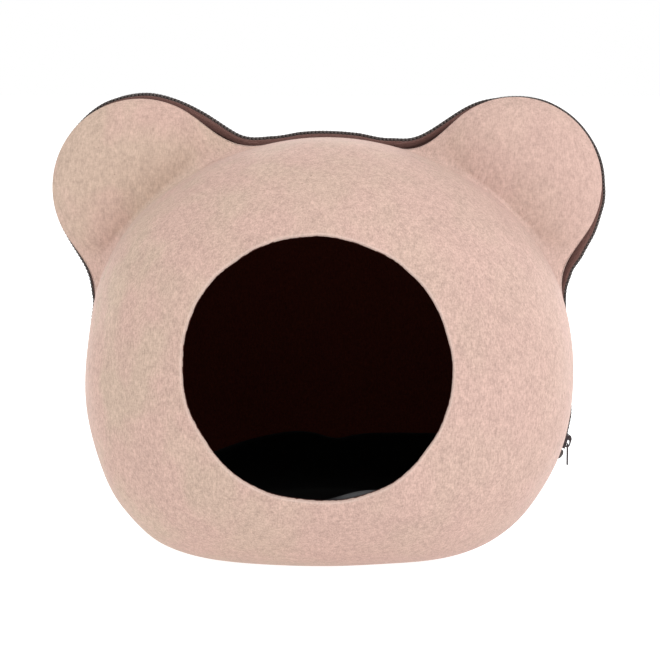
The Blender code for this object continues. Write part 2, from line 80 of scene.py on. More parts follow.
def add_camera():
    """The camera with the fitted lens, place and shift."""
    data = bpy.data.cameras.new("camera")
    data.lens, data.sensor_width = LENS, SENSOR
    data.shift_x, data.shift_y = SHIFT
    data.clip_end = FARTHEST
    camera = aimed("camera", data, AZIMUTH, ELEVATION, DISTANCE)
    bpy.context.scene.camera = camera
    return camera


print("camera at", [round(x, 3) for x in add_camera().location])

# %% [markdown]
# ## One formula for the whole felt
# Moulded felt has no panels: it flows from the belly over the cheeks into the ears. So one
# function says how far a point lies outside the felt: a rounded box for the body, a round pad for
# each ear, and a floor that presses the belly flat. A smooth minimum joins body and ear, with a
# tight fillet on the faces, which is the crease, and a wide one in the seam plane, which is the
# neck. Most values are the CAD source's own, so the fine surface lies where the solids are. Only
# the crease is tighter than there: the ear sinks a little beside the body. A second value paints
# shade into the crease and a highlight along its edge on the body side; the painted shade is
# stronger on the left ear.

# %% Values of the felt
HEART = np.array((0.28, -2.10, 176.5)) * MM
BODY_CENTRE_Z = -26.0 * MM
BODY_HALF_WIDTH = 200.8 * MM
BODY_HALF_DEPTH = 172.0 * MM
BODY_RISE = 189.7 * MM
BODY_DROP = 163.4 * MM
BODY_POWERS = (2.25, 2.35, 2.5)
BELLY_FLOOR = -9.8 * MM
BELLY_BLEND = 32.7 * MM
BASE_BLEND = 1.5 * MM
EARS = ((-154.1 * MM, 125.9 * MM, 77.1 * MM), (153.0 * MM, 130.6 * MM, 74.3 * MM))
EAR_HALF_THICK = 28.3 * MM
EAR_POWERS = (2.0, 2.0, 2.35)
CREASE_BLEND = 3.0 * MM
CREASE_SINK = 6.0 * MM
CREASE_REACH = 18.0 * MM
FOLD_BLEND = 8.0 * MM
FOLD_DEPTH = 20.0 * MM
CREASE_FADES = (112.0, 13.0, 45.0 * MM)
FADE_DEPTH = 30.0 * MM
# The next six values set the painted shade in each ear's crease, stronger on the left ear, and the
# painted highlight along the crease's edge on the body side.
FOLD_FADES_WIDER = 1.3
FOLD_SHADE = 11.0 * MM
FOLD_EDGE = 1.2 * MM
FOLD_LIGHT = 9.0 * MM
FOLD_HIGHLIGHT_GAIN = 0.6
FOLD_SHADE_STRENGTH = (1.0, 0.35)
NECK_BLEND = 55.0 * MM
NECK_DEPTH = 13.7 * MM
SWELLS = ((0.0, 22.0, 3.1), (90.0, 20.0, 5.6), (180.0, 22.0, 0.1), (225.0, 20.0, 7.9),
          (290.0, 14.0, -2.0), (315.0, 20.0, 4.8))
SWELL_INNER = 90.0 * MM
PINCH = (166.7, 10.0, 2.5)
PINCH_DEPTH = 20.0 * MM
FELT = 4.5 * MM
RAY_LENGTH = 0.4
HALVINGS = 40
TILT_HALVINGS = 34


def bell(distance, spread):
    """e to the minus square of distance over spread: 1 in the middle, fading to both sides."""
    return np.exp(-((distance / spread) ** 2))


def near_seam(point, depth):
    """1 in the seam plane, fading to the front and the back by a bell curve."""
    return bell(point[..., 1], depth)


def bearing_of(point):
    """The angle in the seam plane, in degrees from +X up over the top."""
    return np.degrees(np.arctan2(point[..., 2], point[..., 0]))


def smooth_min(a, b, blend):
    """The smaller of a and b, less a quarter of blend where they are equal, eased by a parabola."""
    near = np.maximum(blend - np.abs(a - b), 0.0) / blend
    return np.minimum(a, b) - near * near * blend / 4.0


def bulge(offset, half_width, rise, drop, half_depth, powers):
    """Length of the offset times one less one over its size, where the size is the superellipsoid
    sum of its shares of half width, height and half depth."""
    upper = offset[..., 2] > 0.0
    height = np.where(upper, rise, drop)
    power = np.where(upper, powers[0], powers[1])
    across = np.abs(offset[..., 0] / half_width) ** power + np.abs(offset[..., 2] / height) ** power
    deep = np.abs(offset[..., 1] / half_depth) ** powers[2]
    size = (across ** (powers[2] / power) + deep) ** (1.0 / powers[2])
    return np.linalg.norm(offset, axis=-1) * (1.0 - 1.0 / np.maximum(size, 1e-6))


def swell(offset):
    """Sum of bell curves round the rim, less one beside the seam, faded to the body's middle."""
    bearing = bearing_of(offset)

    def round_rim(centre, spread):
        """Bell curve of the bearing's difference from a centre, taken the short way round."""
        return bell((bearing - centre + 180.0) % 360.0 - 180.0, spread)

    height = sum(top * MM * round_rim(centre, spread) for centre, spread, top in SWELLS)
    off_seam = 1.0 - near_seam(offset, PINCH_DEPTH)
    height = height - PINCH[2] * MM * round_rim(*PINCH[:2]) * off_seam
    out = np.hypot(offset[..., 0], offset[..., 2])
    return height * (1.0 - bell(out, SWELL_INNER))


def body_level(point):
    """How far points lie outside the body alone."""
    from_body = point - np.array((0.0, 0.0, BODY_CENTRE_Z))
    level = bulge(from_body, BODY_HALF_WIDTH, BODY_RISE, BODY_DROP, BODY_HALF_DEPTH, BODY_POWERS)
    return level - swell(from_body)


def sunk_ears(point, level):
    """How far points lie outside each ear, which sinks back a little beside the body."""
    sink = CREASE_SINK * np.exp(-np.maximum(level, 0.0) / CREASE_REACH)
    sink = sink * (1.0 - near_seam(point, NECK_DEPTH))
    places = ((point - np.array((x, 0.0, z)), radius) for x, z, radius in EARS)
    return [bulge(place, radius, radius, radius, EAR_HALF_THICK, EAR_POWERS) + sink
            for place, radius in places]


def felt_level(point):
    """How far points, given from the heart, lie outside the felt's outer face."""
    level = body_level(point)
    at_seam = near_seam(point, NECK_DEPTH)
    beside_seam = (1.0 - at_seam) * near_seam(point, FOLD_DEPTH)
    fade_centre, fade_spread, fade_blend = CREASE_FADES
    fade = bell(bearing_of(point) - fade_centre, fade_spread)
    fade = fade * (1.0 - near_seam(point, FADE_DEPTH))
    blend = CREASE_BLEND + (NECK_BLEND - CREASE_BLEND) * at_seam + FOLD_BLEND * beside_seam
    blend = blend + fade_blend * fade
    for ear in sunk_ears(point, level):
        level = smooth_min(level, ear, blend)
    height = point[..., 2] + HEART[2]
    level = -smooth_min(-level, height - BELLY_FLOOR, BELLY_BLEND)
    return -smooth_min(-level, height, BASE_BLEND)


def painted_crease_light(point):
    """Painted shade: 1 in each ear's crease, fading over the ear by e in FOLD_SHADE; on the body side
    it drops at once, goes below 0 as a painted highlight on the edge, and fades by e in FOLD_LIGHT."""
    level = body_level(point)
    fade_centre, fade_spread, _blend = CREASE_FADES
    closed = 1.0 - bell(bearing_of(point) - fade_centre, FOLD_FADES_WIDER * fade_spread)
    closed = closed * (1.0 - near_seam(point, FOLD_DEPTH))
    shade = np.zeros_like(level)
    for ear, top in zip(sunk_ears(point, level), FOLD_SHADE_STRENGTH):
        past = np.maximum(ear, 0.0)
        edge = np.exp(-past / FOLD_EDGE)
        shade += top * np.exp(-np.maximum(level, 0.0) / FOLD_SHADE) * edge
        shade -= FOLD_HIGHLIGHT_GAIN * (np.exp(-past / FOLD_LIGHT) - edge)
    return shade * closed


def reach(direction, start=(0.0, 0.0, 0.0)):
    """Where rays from start leave the felt, found by halving the distance again and again."""
    start = np.array(start)
    near = np.zeros(direction.shape[:-1])
    far = np.full(direction.shape[:-1], RAY_LENGTH)
    for _step in range(HALVINGS):
        middle = (near + far) / 2.0
        inside = felt_level(start + direction * middle[..., None]) < 0.0
        near, far = np.where(inside, middle, near), np.where(inside, far, middle)
    return start + direction * near[..., None]


def unit(vector):
    """The vectors divided by their lengths."""
    return vector / np.maximum(np.linalg.norm(vector, axis=-1, keepdims=True), 1e-12)


def outward(point):
    """The slope of felt_level by central differences, made unit length."""
    step = 0.05 * MM
    slope = [felt_level(point + axis) - felt_level(point - axis) for axis in np.eye(3) * step]
    return unit(np.stack(slope, axis=-1))


def ray(bearing, tilt):
    """Direction at a bearing in the seam plane, leaned by tilt from straight forward."""
    b, t = np.radians(bearing), np.radians(tilt)
    return np.stack((np.cos(b) * np.sin(t), -np.cos(t), np.sin(b) * np.sin(t)), axis=-1)


def solve_tilt(bearing, reached):
    """The first tilt, from the door back to the seam, at which reached(point) holds."""
    low, high = np.zeros_like(bearing), np.full_like(bearing, 90.0)
    for _step in range(TILT_HALVINGS):
        middle = (low + high) / 2.0
        done = reached(reach(ray(bearing, middle)))
        low, high = np.where(done, low, middle), np.where(done, middle, high)
    return high


top_of_body = reach(np.array((0.0, 0.0, 1.0)))[2] + HEART[2]
print("top of the felt between the ears in mm:", round(top_of_body / MM, 1))

# %% [markdown]
# ## Lines on the felt
# The felt is cut twice. The door is a circle that the scissors left a little uneven. Along the
# zip each half stops 9 mm short of the seam plane, and past the zip's ends this slot closes, so
# the halves meet and are sewn. The teeth run at a height of their own above the outline: high
# beside the inner feet of the ears, where the band shows wide, and level with the felt elsewhere.
# The door is cut 1 to 2 mm wider than in the solids, as the picture shows it.

# %% Values of the door, slot and teeth
SEAM_ROUND = (-90.0, 270.0)
WALK_BEARINGS = 2881
DOOR_RADIUS = 103.9 * MM
DOOR_WAVES = (
    # waves round the door, height in mm of their cosine and of their sine
    (1, 0.4, -0.8), (2, 0.86, -1.1), (3, -0.3, 0.55), (7, 0.16, -0.12), (13, 0.14, 0.10),
    (22, -0.07, 0.09))
ZIP_END_RIGHT, ZIP_END_LEFT = -28.0, 205.5
CHAIN_END_RIGHT = -24.2
SLOT_HALF = 9.0 * MM
SLOT_TAPER = 4.5
SEWN_HALF = 0.15 * MM
CHAIN_RISE = np.array((
    # bearing in degrees, height in mm above the outline
    (-28.0, 3.4), (-22.5, 3.2), (-18.0, 2.6), (-11.0, -0.2), (0.0, -0.8), (12.0, -1.1), (16.0, 0.3),
    (19.0, 4.2), (22.0, 5.1), (26.0, 2.8), (31.0, 0.5), (40.0, -0.9), (47.0, -1.3), (55.0, -3.0),
    (60.5, 0.6), (66.0, -0.4), (73.0, 2.7), (82.0, 4.5), (97.0, 5.0), (105.0, 4.0), (112.5, 1.5),
    (118.0, 6.3), (124.0, 3.0), (132.0, 0.5), (140.0, -1.8), (148.0, -3.0), (156.0, -1.8),
    (163.5, -4.9), (170.0, -2.2), (176.0, 0.6), (190.0, 0.6), (205.5, 0.0)))


def past_zip_end(bearing):
    """Degrees beyond the zip's nearer end, below zero along the zip."""
    return np.maximum(ZIP_END_RIGHT - bearing, bearing - ZIP_END_LEFT)


def slot_half(bearing):
    """Half the slot's width, closing along a quarter circle past each end of the zip."""
    past = np.clip(past_zip_end(bearing) / SLOT_TAPER, 0.0, 1.0)
    return np.maximum(SLOT_HALF * np.sqrt(1.0 - past * past), SEWN_HALF)


def door_radius(bearing):
    """The door's radius, its slow waves and the small ones that the scissors left."""
    angle = np.radians(bearing)
    waves = sum(c * np.cos(n * angle) + s * np.sin(n * angle) for n, c, s in DOOR_WAVES)
    return DOOR_RADIUS + waves * MM


def chain_rise(bearing):
    """Height of the teeth above the outline, eased by a smoothstep from row to row."""
    marks, heights = CHAIN_RISE.T
    clipped = np.clip(bearing, marks[0], marks[-1])
    after = np.clip(np.searchsorted(marks, clipped, side="right"), 1, len(marks) - 1)
    part = (clipped - marks[after - 1]) / (marks[after] - marks[after - 1])
    eased = part * part * (3.0 - 2.0 * part)
    return (heights[after - 1] + (heights[after] - heights[after - 1]) * eased) * MM


def chain_top(bearing):
    """The outline in the seam plane, pushed out from the heart by chain_rise."""
    outline = reach(ray(bearing, np.full_like(bearing, 90.0)))
    return outline + unit(outline) * chain_rise(bearing)[..., None]


def chain_frame(bearing):
    """Top of the teeth, direction down the right-hand side, and the direction outwards."""
    step = 0.4
    along = unit(chain_top(bearing - step) - chain_top(bearing + step))
    out = np.stack((-along[..., 2], np.zeros_like(bearing), along[..., 0]), axis=-1)
    return chain_top(bearing), along, out


def even_bearings(start, end, count):
    """Bearings whose points on the outline in the seam plane stand at even steps."""
    fine = np.linspace(start, end, WALK_BEARINGS)
    points = reach(ray(fine, np.full_like(fine, 90.0)))
    walked = np.concatenate(([0.0], np.cumsum(np.linalg.norm(np.diff(points, axis=0), axis=1))))
    return np.interp(np.linspace(0.0, walked[-1], count), walked, fine), walked[-1]


_bearings, seam_length = even_bearings(*SEAM_ROUND, 9)
_bearings, zip_length = even_bearings(ZIP_END_RIGHT, ZIP_END_LEFT, 9)
print("once round the seam %.0f mm, of it zip %.0f mm" % (seam_length / MM, zip_length / MM))

# %% [markdown]
# ## From arrays to meshes
# A piece is a grid of points, rows by columns, worked out as whole arrays. A grid can close on
# itself in either direction, which makes tubes and rings without a seam. Values that a material
# needs, such as which side of the felt a point is on, ride along as attributes.

# %% Mesh helpers
WELD = 1e-6
SLIVER = 1e-7


def grid_faces(rows, columns, close_rows=False, close_columns=False):
    """Corner indices of all quads: each point, its right neighbour, and the two above them."""
    r = np.arange(rows if close_rows else rows - 1)[:, None]
    c = np.arange(columns if close_columns else columns - 1)[None, :]
    right, above = (c + 1) % columns, (r + 1) % rows
    corners = (r * columns + c, r * columns + right, above * columns + right, above * columns + c)
    return np.stack(corners, axis=-1).reshape(-1, 4)


def add_piece(name, points, faces, attributes=None, weld=False):
    """A mesh object at the origin from points in metres and faces of any one corner count."""
    mesh = bpy.data.meshes.new(name)
    points, faces = points.reshape(-1, 3), np.asarray(faces)
    mesh.vertices.add(len(points))
    mesh.vertices.foreach_set("co", points.astype(np.float32).ravel())
    mesh.loops.add(faces.size)
    mesh.loops.foreach_set("vertex_index", faces.astype(np.int32).ravel())
    mesh.polygons.add(len(faces))
    mesh.polygons.foreach_set("loop_start", np.arange(0, faces.size, faces.shape[1], dtype=np.int32))
    for key, values in (attributes or {}).items():
        layer = mesh.attributes.new(key, "FLOAT", "POINT")
        layer.data.foreach_set("value", np.asarray(values, np.float32).ravel())
    mesh.update(calc_edges=True)
    if weld:
        bm = bmesh.new()
        bm.from_mesh(mesh)
        bmesh.ops.remove_doubles(bm, verts=bm.verts, dist=WELD)
        bmesh.ops.dissolve_degenerate(bm, edges=bm.edges, dist=SLIVER)
        bm.to_mesh(mesh)
        bm.free()
    mesh.shade_smooth()
    obj = bpy.data.objects.new(name, mesh)
    bpy.context.scene.collection.objects.link(obj)
    return obj


def face_out(obj):
    """Turn every face of a closed mesh outwards and fill open ends."""
    bm = bmesh.new()
    bm.from_mesh(obj.data)
    bmesh.ops.holes_fill(bm, edges=bm.edges, sides=0)
    bmesh.ops.recalc_face_normals(bm, faces=bm.faces)
    bm.to_mesh(obj.data)
    bm.free()
    return obj


def triangles(obj):
    """How many triangles the mesh comes to."""
    obj.data.calc_loop_triangles()
    return len(obj.data.loop_triangles)


def finish_piece(obj, nodes, finish):
    """Ride the body, stand for the CAD nodes, and take the finish."""
    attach(obj, "root")
    if nodes:
        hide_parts(*nodes)
    obj.data.materials.append(finish)
    low, high = (np.array(corner) / MM for corner in corners_of(obj))
    print(obj.name, triangles(obj), "triangles,", np.round(low).tolist(), np.round(high).tolist())
    return obj


def corners_of(obj):
    """The lowest and the highest corner of the mesh's box."""
    co = np.empty(len(obj.data.vertices) * 3, np.float32)
    obj.data.vertices.foreach_get("co", co)
    co = co.reshape(-1, 3)
    return co.min(axis=0), co.max(axis=0)


# %% [markdown]
# ## Materials out of nodes
# The finishes are built from noise and waves, with no pictures. Effects that more than one finish
# uses, such as fibres or a weave, are node groups with named inputs. A group only puts out values
# and heights that change over the surface, and each finish keeps its own shader.

# %% Node helpers
def node(tree, kind, inputs=None, **settings):
    """One node; an input is linked if it is a socket, and set if it is a value."""
    made = tree.nodes.new(kind)
    for key, value in settings.items():
        setattr(made, key, value)
    feed(tree, made, inputs or {})
    return made


def feed(tree, made, inputs):
    """Link each of a node's inputs to a socket, or set it to a value."""
    for key, value in inputs.items():
        if isinstance(value, bpy.types.NodeSocket):
            tree.links.new(value, made.inputs[key])
        else:
            made.inputs[key].default_value = value


def math_node(tree, operation, a, b=0.0):
    """One sum of two values."""
    return node(tree, "ShaderNodeMath", {0: a, 1: b}, operation=operation).outputs[0]


def vector_node(tree, operation, *inputs):
    """One sum of vectors; its vector comes first, and a length or distance second."""
    return node(tree, "ShaderNodeVectorMath", dict(enumerate(inputs)), operation=operation).outputs


def noise(tree, vector, turns, detail=2.0, roughness=0.55, distortion=0.0):
    """Noise that turns over so many times a metre along X, Y and Z."""
    made = node(tree, "ShaderNodeTexNoise", {
        "Vector": vector_node(tree, "MULTIPLY", vector, turns)[0], "Scale": 1.0, "Detail": detail,
        "Roughness": roughness, "Distortion": distortion})
    return made.outputs["Fac"]


def spread_out(tree, value, low, high, to_low=0.0, to_high=1.0):
    """Map low..high to to_low..to_high, clamped."""
    return node(tree, "ShaderNodeMapRange", {
        "Value": value, "From Min": low, "From Max": high, "To Min": to_low,
        "To Max": to_high}).outputs[0]


def mixed(tree, share, a, b, kind="RGBA", blend="MIX"):
    """a where share is 0, b where it is 1, and a mixture between, or a blended with b."""
    first, output = {"FLOAT": (2, 0), "RGBA": (6, 2)}[kind]
    made = node(tree, "ShaderNodeMix", data_type=kind, blend_type=blend)
    feed(tree, made, {0: share, first: a, first + 1: b})
    return made.outputs[output]


def bumped(tree, shader, height, strength, distance):
    """Tilt the shader's normal by the slope of a height."""
    bump = node(tree, "ShaderNodeBump", {"Height": height, "Strength": strength, "Distance": distance})
    tree.links.new(bump.outputs[0], shader.inputs["Normal"])


def new_group(name, inputs, outputs):
    """An empty node group; inputs are (name, kind, value), outputs are (name, kind)."""
    tree = bpy.data.node_groups.new(name, "ShaderNodeTree")
    for label, kind, value in inputs:
        socket = tree.interface.new_socket(label, in_out="INPUT", socket_type="NodeSocket" + kind)
        if value is not None:
            socket.default_value = value
    for label, kind in outputs:
        tree.interface.new_socket(label, in_out="OUTPUT", socket_type="NodeSocket" + kind)
    return tree, tree.nodes.new("NodeGroupInput").outputs, tree.nodes.new("NodeGroupOutput").inputs


def place_group(tree, group, inputs):
    """The outputs of a node group placed in a material with its own values."""
    made = tree.nodes.new("ShaderNodeGroup")
    made.node_tree = group
    feed(tree, made, inputs)
    return made.outputs


def new_material(name, **shader_values):
    """A material with its Principled shader; uniform values are set on the shader's own sockets."""
    made = bpy.data.materials.new(name)
    made.use_nodes = True
    tree = made.node_tree
    shader = tree.nodes["Principled BSDF"]
    for key, value in shader_values.items():
        shader.inputs[key.replace("_", " ")].default_value = value
    return made, tree, shader


def attribute(tree, name):
    """A value that the mesh carries."""
    return node(tree, "ShaderNodeAttribute", attribute_name=name).outputs["Fac"]


def object_place(tree):
    """The place on the object, in metres."""
    return tree.nodes.new("ShaderNodeTexCoord").outputs["Object"]


def colour(red, green, blue):
    """An sRGB colour of 0 to 255, as a colour picker reads it, made linear for the shader."""
    part = np.array((red, green, blue)) / 255.0
    linear = np.where(part <= 0.04045, part / 12.92, ((part + 0.055) / 1.055) ** 2.4)
    return (*linear.tolist(), 1.0)


# %% [markdown]
# ### Fibres
# Needled felt is a mat of short fibres with no weave. Close to, it looks like fine streaks that
# mostly run upwards, crossed by fainter ones, with tufts that are a little lighter or darker and
# now and then a dark fibre. Stretched noise gives the streaks, and rare cells give the flecks.

# %% Fibre group
# How many times each noise turns over in a metre along X, Y and Z
UPRIGHT = (950.0, 950.0, 300.0)
LYING = (330.0, 620.0, 900.0)
HAIR = (2300.0, 2300.0, 900.0)
TUFT = (260.0, 260.0, 180.0)
FLECK_CELLS = (150.0, 150.0, 110.0)
LYING_SHARE = 0.36
HAIR_HEIGHT = 0.5
FLECK_EDGE = (0.05, 0.12)


def fibre_group():
    """Streaks are upright noise mixed with lying noise; a fleck is the middle of a rare cell."""
    tree, given, out = new_group("fibres", (
        ("Place", "Vector", None), ("Fineness", "Float", 1.0), ("Fleck Share", "Float", 0.06)),
        (("Streaks", "Float"), ("Tufts", "Float"), ("Flecks", "Float"), ("Height", "Float")))
    place = node(tree, "ShaderNodeVectorMath", {
        "Vector": given["Place"], "Scale": given["Fineness"]}, operation="SCALE").outputs[0]
    upright = noise(tree, place, UPRIGHT, 2.0, 0.6, 0.3)
    lying = noise(tree, place, LYING, 2.0, 0.6, 0.3)
    hair = noise(tree, place, HAIR, 1.0, 0.5)
    tuft = noise(tree, place, TUFT, 2.0, 0.5)
    streaks = mixed(tree, LYING_SHARE, upright, lying, "FLOAT")
    cells = node(tree, "ShaderNodeTexVoronoi", {
        "Vector": vector_node(tree, "MULTIPLY", place, FLECK_CELLS)[0], "Scale": 1.0,
        "Randomness": 1.0})
    chance = node(tree, "ShaderNodeSeparateColor", {"Color": cells.outputs["Color"]}).outputs[0]
    lone = math_node(tree, "LESS_THAN", chance, given["Fleck Share"])
    close = spread_out(tree, cells.outputs["Distance"], *FLECK_EDGE, 1.0, 0.0)
    flecks = math_node(tree, "MULTIPLY", lone, close)
    height = math_node(tree, "ADD", streaks, math_node(tree, "MULTIPLY", hair, HAIR_HEIGHT))
    for label, value in (("Streaks", streaks), ("Tufts", tuft), ("Flecks", flecks), ("Height", height)):
        tree.links.new(value, out[label])
    return tree


fibres = fibre_group()
print("fibre group:", len(fibres.nodes), "nodes")

# %% [markdown]
# ### Weave
# The zip's tape is woven: thick warp threads run along it, and a fine weft goes over and under
# them. The pattern follows the tape round the ears, so it reads two lengths that the mesh
# carries, along and across, instead of the place in space.

# %% Weave group
WEFT_PITCH = 0.8
WEFT_HEIGHT = 0.35
GROOVE_TONE = 0.35
UNEVEN = (350.0, 1500.0, 1.0)
UNEVEN_TONE = 0.45


def weave_group():
    """A row of round warp threads, each crossed by a weft sine that starts half a turn later than
    its neighbour's; the tone is the height, which paints shade into the grooves, times uneven dye."""
    tree, given, out = new_group("weave", (
        ("Along", "Float", 0.0), ("Across", "Float", 0.0), ("Thread", "Float", 0.0005)),
        (("Height", "Float"), ("Thread Tone", "Float")))
    warp = math_node(tree, "DIVIDE", given["Across"], given["Thread"])
    pitch = math_node(tree, "MULTIPLY", given["Thread"], WEFT_PITCH)
    weft = math_node(tree, "DIVIDE", given["Along"], pitch)
    turn = math_node(tree, "MULTIPLY", math_node(tree, "FLOOR", warp), math.pi)
    phase = math_node(tree, "ADD", math_node(tree, "MULTIPLY", weft, math.pi), turn)
    over = math_node(tree, "MULTIPLY", math_node(tree, "SINE", phase), WEFT_HEIGHT)
    wave = math_node(tree, "SINE", math_node(tree, "MULTIPLY", warp, math.pi))
    height = math_node(tree, "MULTIPLY", math_node(tree, "ABSOLUTE", wave),
                       math_node(tree, "ADD", over, 1.0 - WEFT_HEIGHT))
    place = node(tree, "ShaderNodeCombineXYZ", {"X": given["Along"], "Y": given["Across"]}).outputs[0]
    uneven = noise(tree, place, UNEVEN, 1.0, 0.5)
    # Painted shade: the tone follows the height, so the grooves between threads are darker.
    tone = math_node(tree, "MULTIPLY", math_node(tree, "ADD", height, GROOVE_TONE),
                     math_node(tree, "ADD", uneven, UNEVEN_TONE))
    tree.links.new(height, out["Height"])
    tree.links.new(tone, out["Thread Tone"])
    return tree


weave = weave_group()
print("groups:", [g.name for g in bpy.data.node_groups])

# %% [markdown]
# ### The finishes
# The felt has two layers, pink-beige outside and dark brown inside, needled into one: the value
# called through says how deep in the felt a point is. Its cut edges are fuzzy and carry a painted
# highlight.
# The ears are pressed flatter than the rest, so their streaks are calmer. Felt has no gloss, but
# its loose fibres catch light at a glancing angle, which is sheen.

# %% Felt finish
FELT_BEIGE = colour(190, 166, 150)
FELT_PINK = colour(193, 163, 151)
FELT_ROSE = colour(193, 163, 153)
FLECK_BROWN = colour(100, 78, 70)
CUT_HIGHLIGHT = colour(214, 194, 184)
INNER_DARK = colour(50, 15, 7)
INNER_BROWN = colour(78, 30, 17)
PAINTED_CREASE_TINT = (-0.21, -0.25, -0.30)
BROAD = (24.0, 24.0, 17.0)
CLOUD = (70.0, 70.0, 50.0)
NOISE_PART = (0.3, 0.7)
ROSE_FROM, ROSE_TO, ROSE_SHARE = -0.16, 0.16, 0.75
EAR_AT = (156.0 * MM, 0.0, 306.0 * MM)
EAR_ROUND = (60.0 * MM, 90.0 * MM)
EAR_CALM = 0.72
SHADE_MIDDLE = 0.96
STREAK_SHADE = 0.24
CLOUD_SHADE = 0.04
TUFT_SHADE = 0.08
FLECK_STRENGTH = 0.55
CUT_HIGHLIGHT_SHARE = 0.3
RAGGED = 0.12
LAYER_EDGE = (0.5, 0.62)


def felt_finish():
    """Pink-beige times a grey of streaks, clouds and tufts, with flecks, a painted highlight on the cut
    edge, and the crease's painted shade and highlight; brown where the value through is past the
    middle."""
    made, tree, shader = new_material(
        "felt_two_tone", Roughness=0.95, Specular_IOR_Level=0.15, Sheen_Weight=0.1,
        Sheen_Roughness=0.3)
    place = object_place(tree)
    fibre = place_group(tree, fibres, {"Place": place, "Fineness": 1.0, "Fleck Share": 0.05})
    broad = spread_out(tree, noise(tree, place, BROAD, 2.0, 0.5), 0.40, 0.60)
    cloud = noise(tree, place, CLOUD, 3.0, 0.6)
    side = node(tree, "ShaderNodeSeparateXYZ", {"Vector": place}).outputs["X"]
    rose = spread_out(tree, side, ROSE_FROM, ROSE_TO, 0.0, ROSE_SHARE)
    base = mixed(tree, rose, mixed(tree, broad, FELT_BEIGE, FELT_PINK), FELT_ROSE)
    from_ear = vector_node(tree, "DISTANCE", vector_node(tree, "ABSOLUTE", place)[0], EAR_AT)
    calm = spread_out(tree, from_ear["Value"], *EAR_ROUND, EAR_CALM, 1.0)
    streaks = spread_out(tree, fibre["Streaks"], *NOISE_PART, -STREAK_SHADE, STREAK_SHADE)
    shade = math_node(tree, "ADD", math_node(tree, "MULTIPLY", streaks, calm), SHADE_MIDDLE)
    for grain, strength in ((cloud, CLOUD_SHADE), (fibre["Tufts"], TUFT_SHADE)):
        shade = math_node(tree, "ADD", shade, spread_out(
            tree, grain, *NOISE_PART, -strength, strength))
    grey = node(tree, "ShaderNodeCombineColor", {"Red": shade, "Green": shade, "Blue": shade})
    outer = mixed(tree, 1.0, base, grey.outputs[0], blend="MULTIPLY")
    flecks = math_node(tree, "MULTIPLY", fibre["Flecks"], FLECK_STRENGTH)
    outer = mixed(tree, flecks, outer, FLECK_BROWN)
    # Painted highlight: paler felt along the door's cut edge, where its fuzz catches light.
    cut = math_node(tree, "MULTIPLY", attribute(tree, "cut"), CUT_HIGHLIGHT_SHARE)
    outer = mixed(tree, cut, outer, CUT_HIGHLIGHT)
    # Painted shade in each ear's crease and a painted highlight along its edge on the body side.
    painted_crease = vector_node(tree, "MULTIPLY_ADD", attribute(tree, "painted_crease"), PAINTED_CREASE_TINT, (1.0, 1.0, 1.0))
    outer = mixed(tree, 1.0, outer, painted_crease[0], blend="MULTIPLY")
    inner = mixed(tree, spread_out(tree, fibre["Streaks"], *NOISE_PART), INNER_DARK, INNER_BROWN)
    ragged = math_node(tree, "ADD", attribute(tree, "through"), spread_out(
        tree, fibre["Tufts"], *NOISE_PART, -RAGGED, RAGGED))
    both = mixed(tree, spread_out(tree, ragged, *LAYER_EDGE), outer, inner)
    tree.links.new(both, shader.inputs["Base Color"])
    bumped(tree, shader, fibre["Height"], 0.5, 0.35 * MM)
    return made


felt = felt_finish()
print("felt:", len(felt.node_tree.nodes), "nodes")

# %% [markdown]
# ### Zip and mat
# The tape is matt and reddish brown, with a painted shadow low in the slot beside the felt. The
# teeth are moulded plastic in dark grey, a little worn and dusty. Slider and pull are cast metal
# under dark lacquer that is rubbed thin in places. The mat's cover is black plush with a short
# pile that shows as grain and a faint sheen, and a painted highlight lightens it in one place.

# %% Zip and mat finishes
TAPE_DARK = colour(66, 41, 37)
TAPE_LIGHT = colour(124, 90, 83)
TAPE_SHADOW = colour(40, 18, 14)
TAPE_SHADE = (8.5 * MM, 14.0 * MM)
TAPE_SHADE_SHARE = 0.65
TAPE_THREAD = 0.55 * MM
MOTTLE = (700.0, 700.0, 700.0)
RUBBED = (160.0, 160.0, 160.0)
PILE = (1400.0, 1400.0, 1400.0)
PILE_LAY = (28.0, 28.0, 60.0)
PLUSH_BLACK = colour(1, 1, 1)
PLUSH_DUSTY = colour(7, 7, 7)
PLUSH_HIGHLIGHT = colour(104, 104, 106)
PLUSH_HIGHLIGHT_AT = (32.0 * MM, -152.0 * MM, 84.0 * MM)
PLUSH_HIGHLIGHT_ROUND = (8.0 * MM, 32.0 * MM)


def tape_finish():
    """Dark and light thread by the weave's tone, mixed with a painted shadow by the place across."""
    made, tree, shader = new_material(
        "zip_tape", Roughness=0.85, Specular_IOR_Level=0.25, Sheen_Weight=0.25, Sheen_Roughness=0.4)
    across = attribute(tree, "across")
    threads = place_group(tree, weave, {
        "Along": attribute(tree, "along"), "Across": across, "Thread": TAPE_THREAD})
    tone = spread_out(tree, threads["Thread Tone"], 0.2, 1.1)
    woven = mixed(tree, tone, TAPE_DARK, TAPE_LIGHT)
    # Painted shadow: the tape is darker low in the slot, beside the felt's edge.
    shadow = spread_out(tree, across, *TAPE_SHADE, TAPE_SHADE_SHARE, 0.0)
    tree.links.new(mixed(tree, shadow, woven, TAPE_SHADOW), shader.inputs["Base Color"])
    bumped(tree, shader, threads["Height"], 0.6, 0.2 * MM)
    return made


def hard_finish(name, dark, light, rough_low, rough_high, **shader_values):
    """Moulded or lacquered: a fine mottle in colour and gloss, and faint dents."""
    made, tree, shader = new_material(name, **shader_values)
    place = object_place(tree)
    mottle = noise(tree, place, MOTTLE, 3.0, 0.6)
    rubbed = noise(tree, place, RUBBED, 2.0, 0.7)
    tint = mixed(tree, spread_out(tree, mottle, 0.35, 0.7), dark, light)
    gloss = spread_out(tree, rubbed, *NOISE_PART, rough_low, rough_high)
    tree.links.new(tint, shader.inputs["Base Color"])
    tree.links.new(gloss, shader.inputs["Roughness"])
    bumped(tree, shader, mottle, 0.15, 0.1 * MM)
    return made


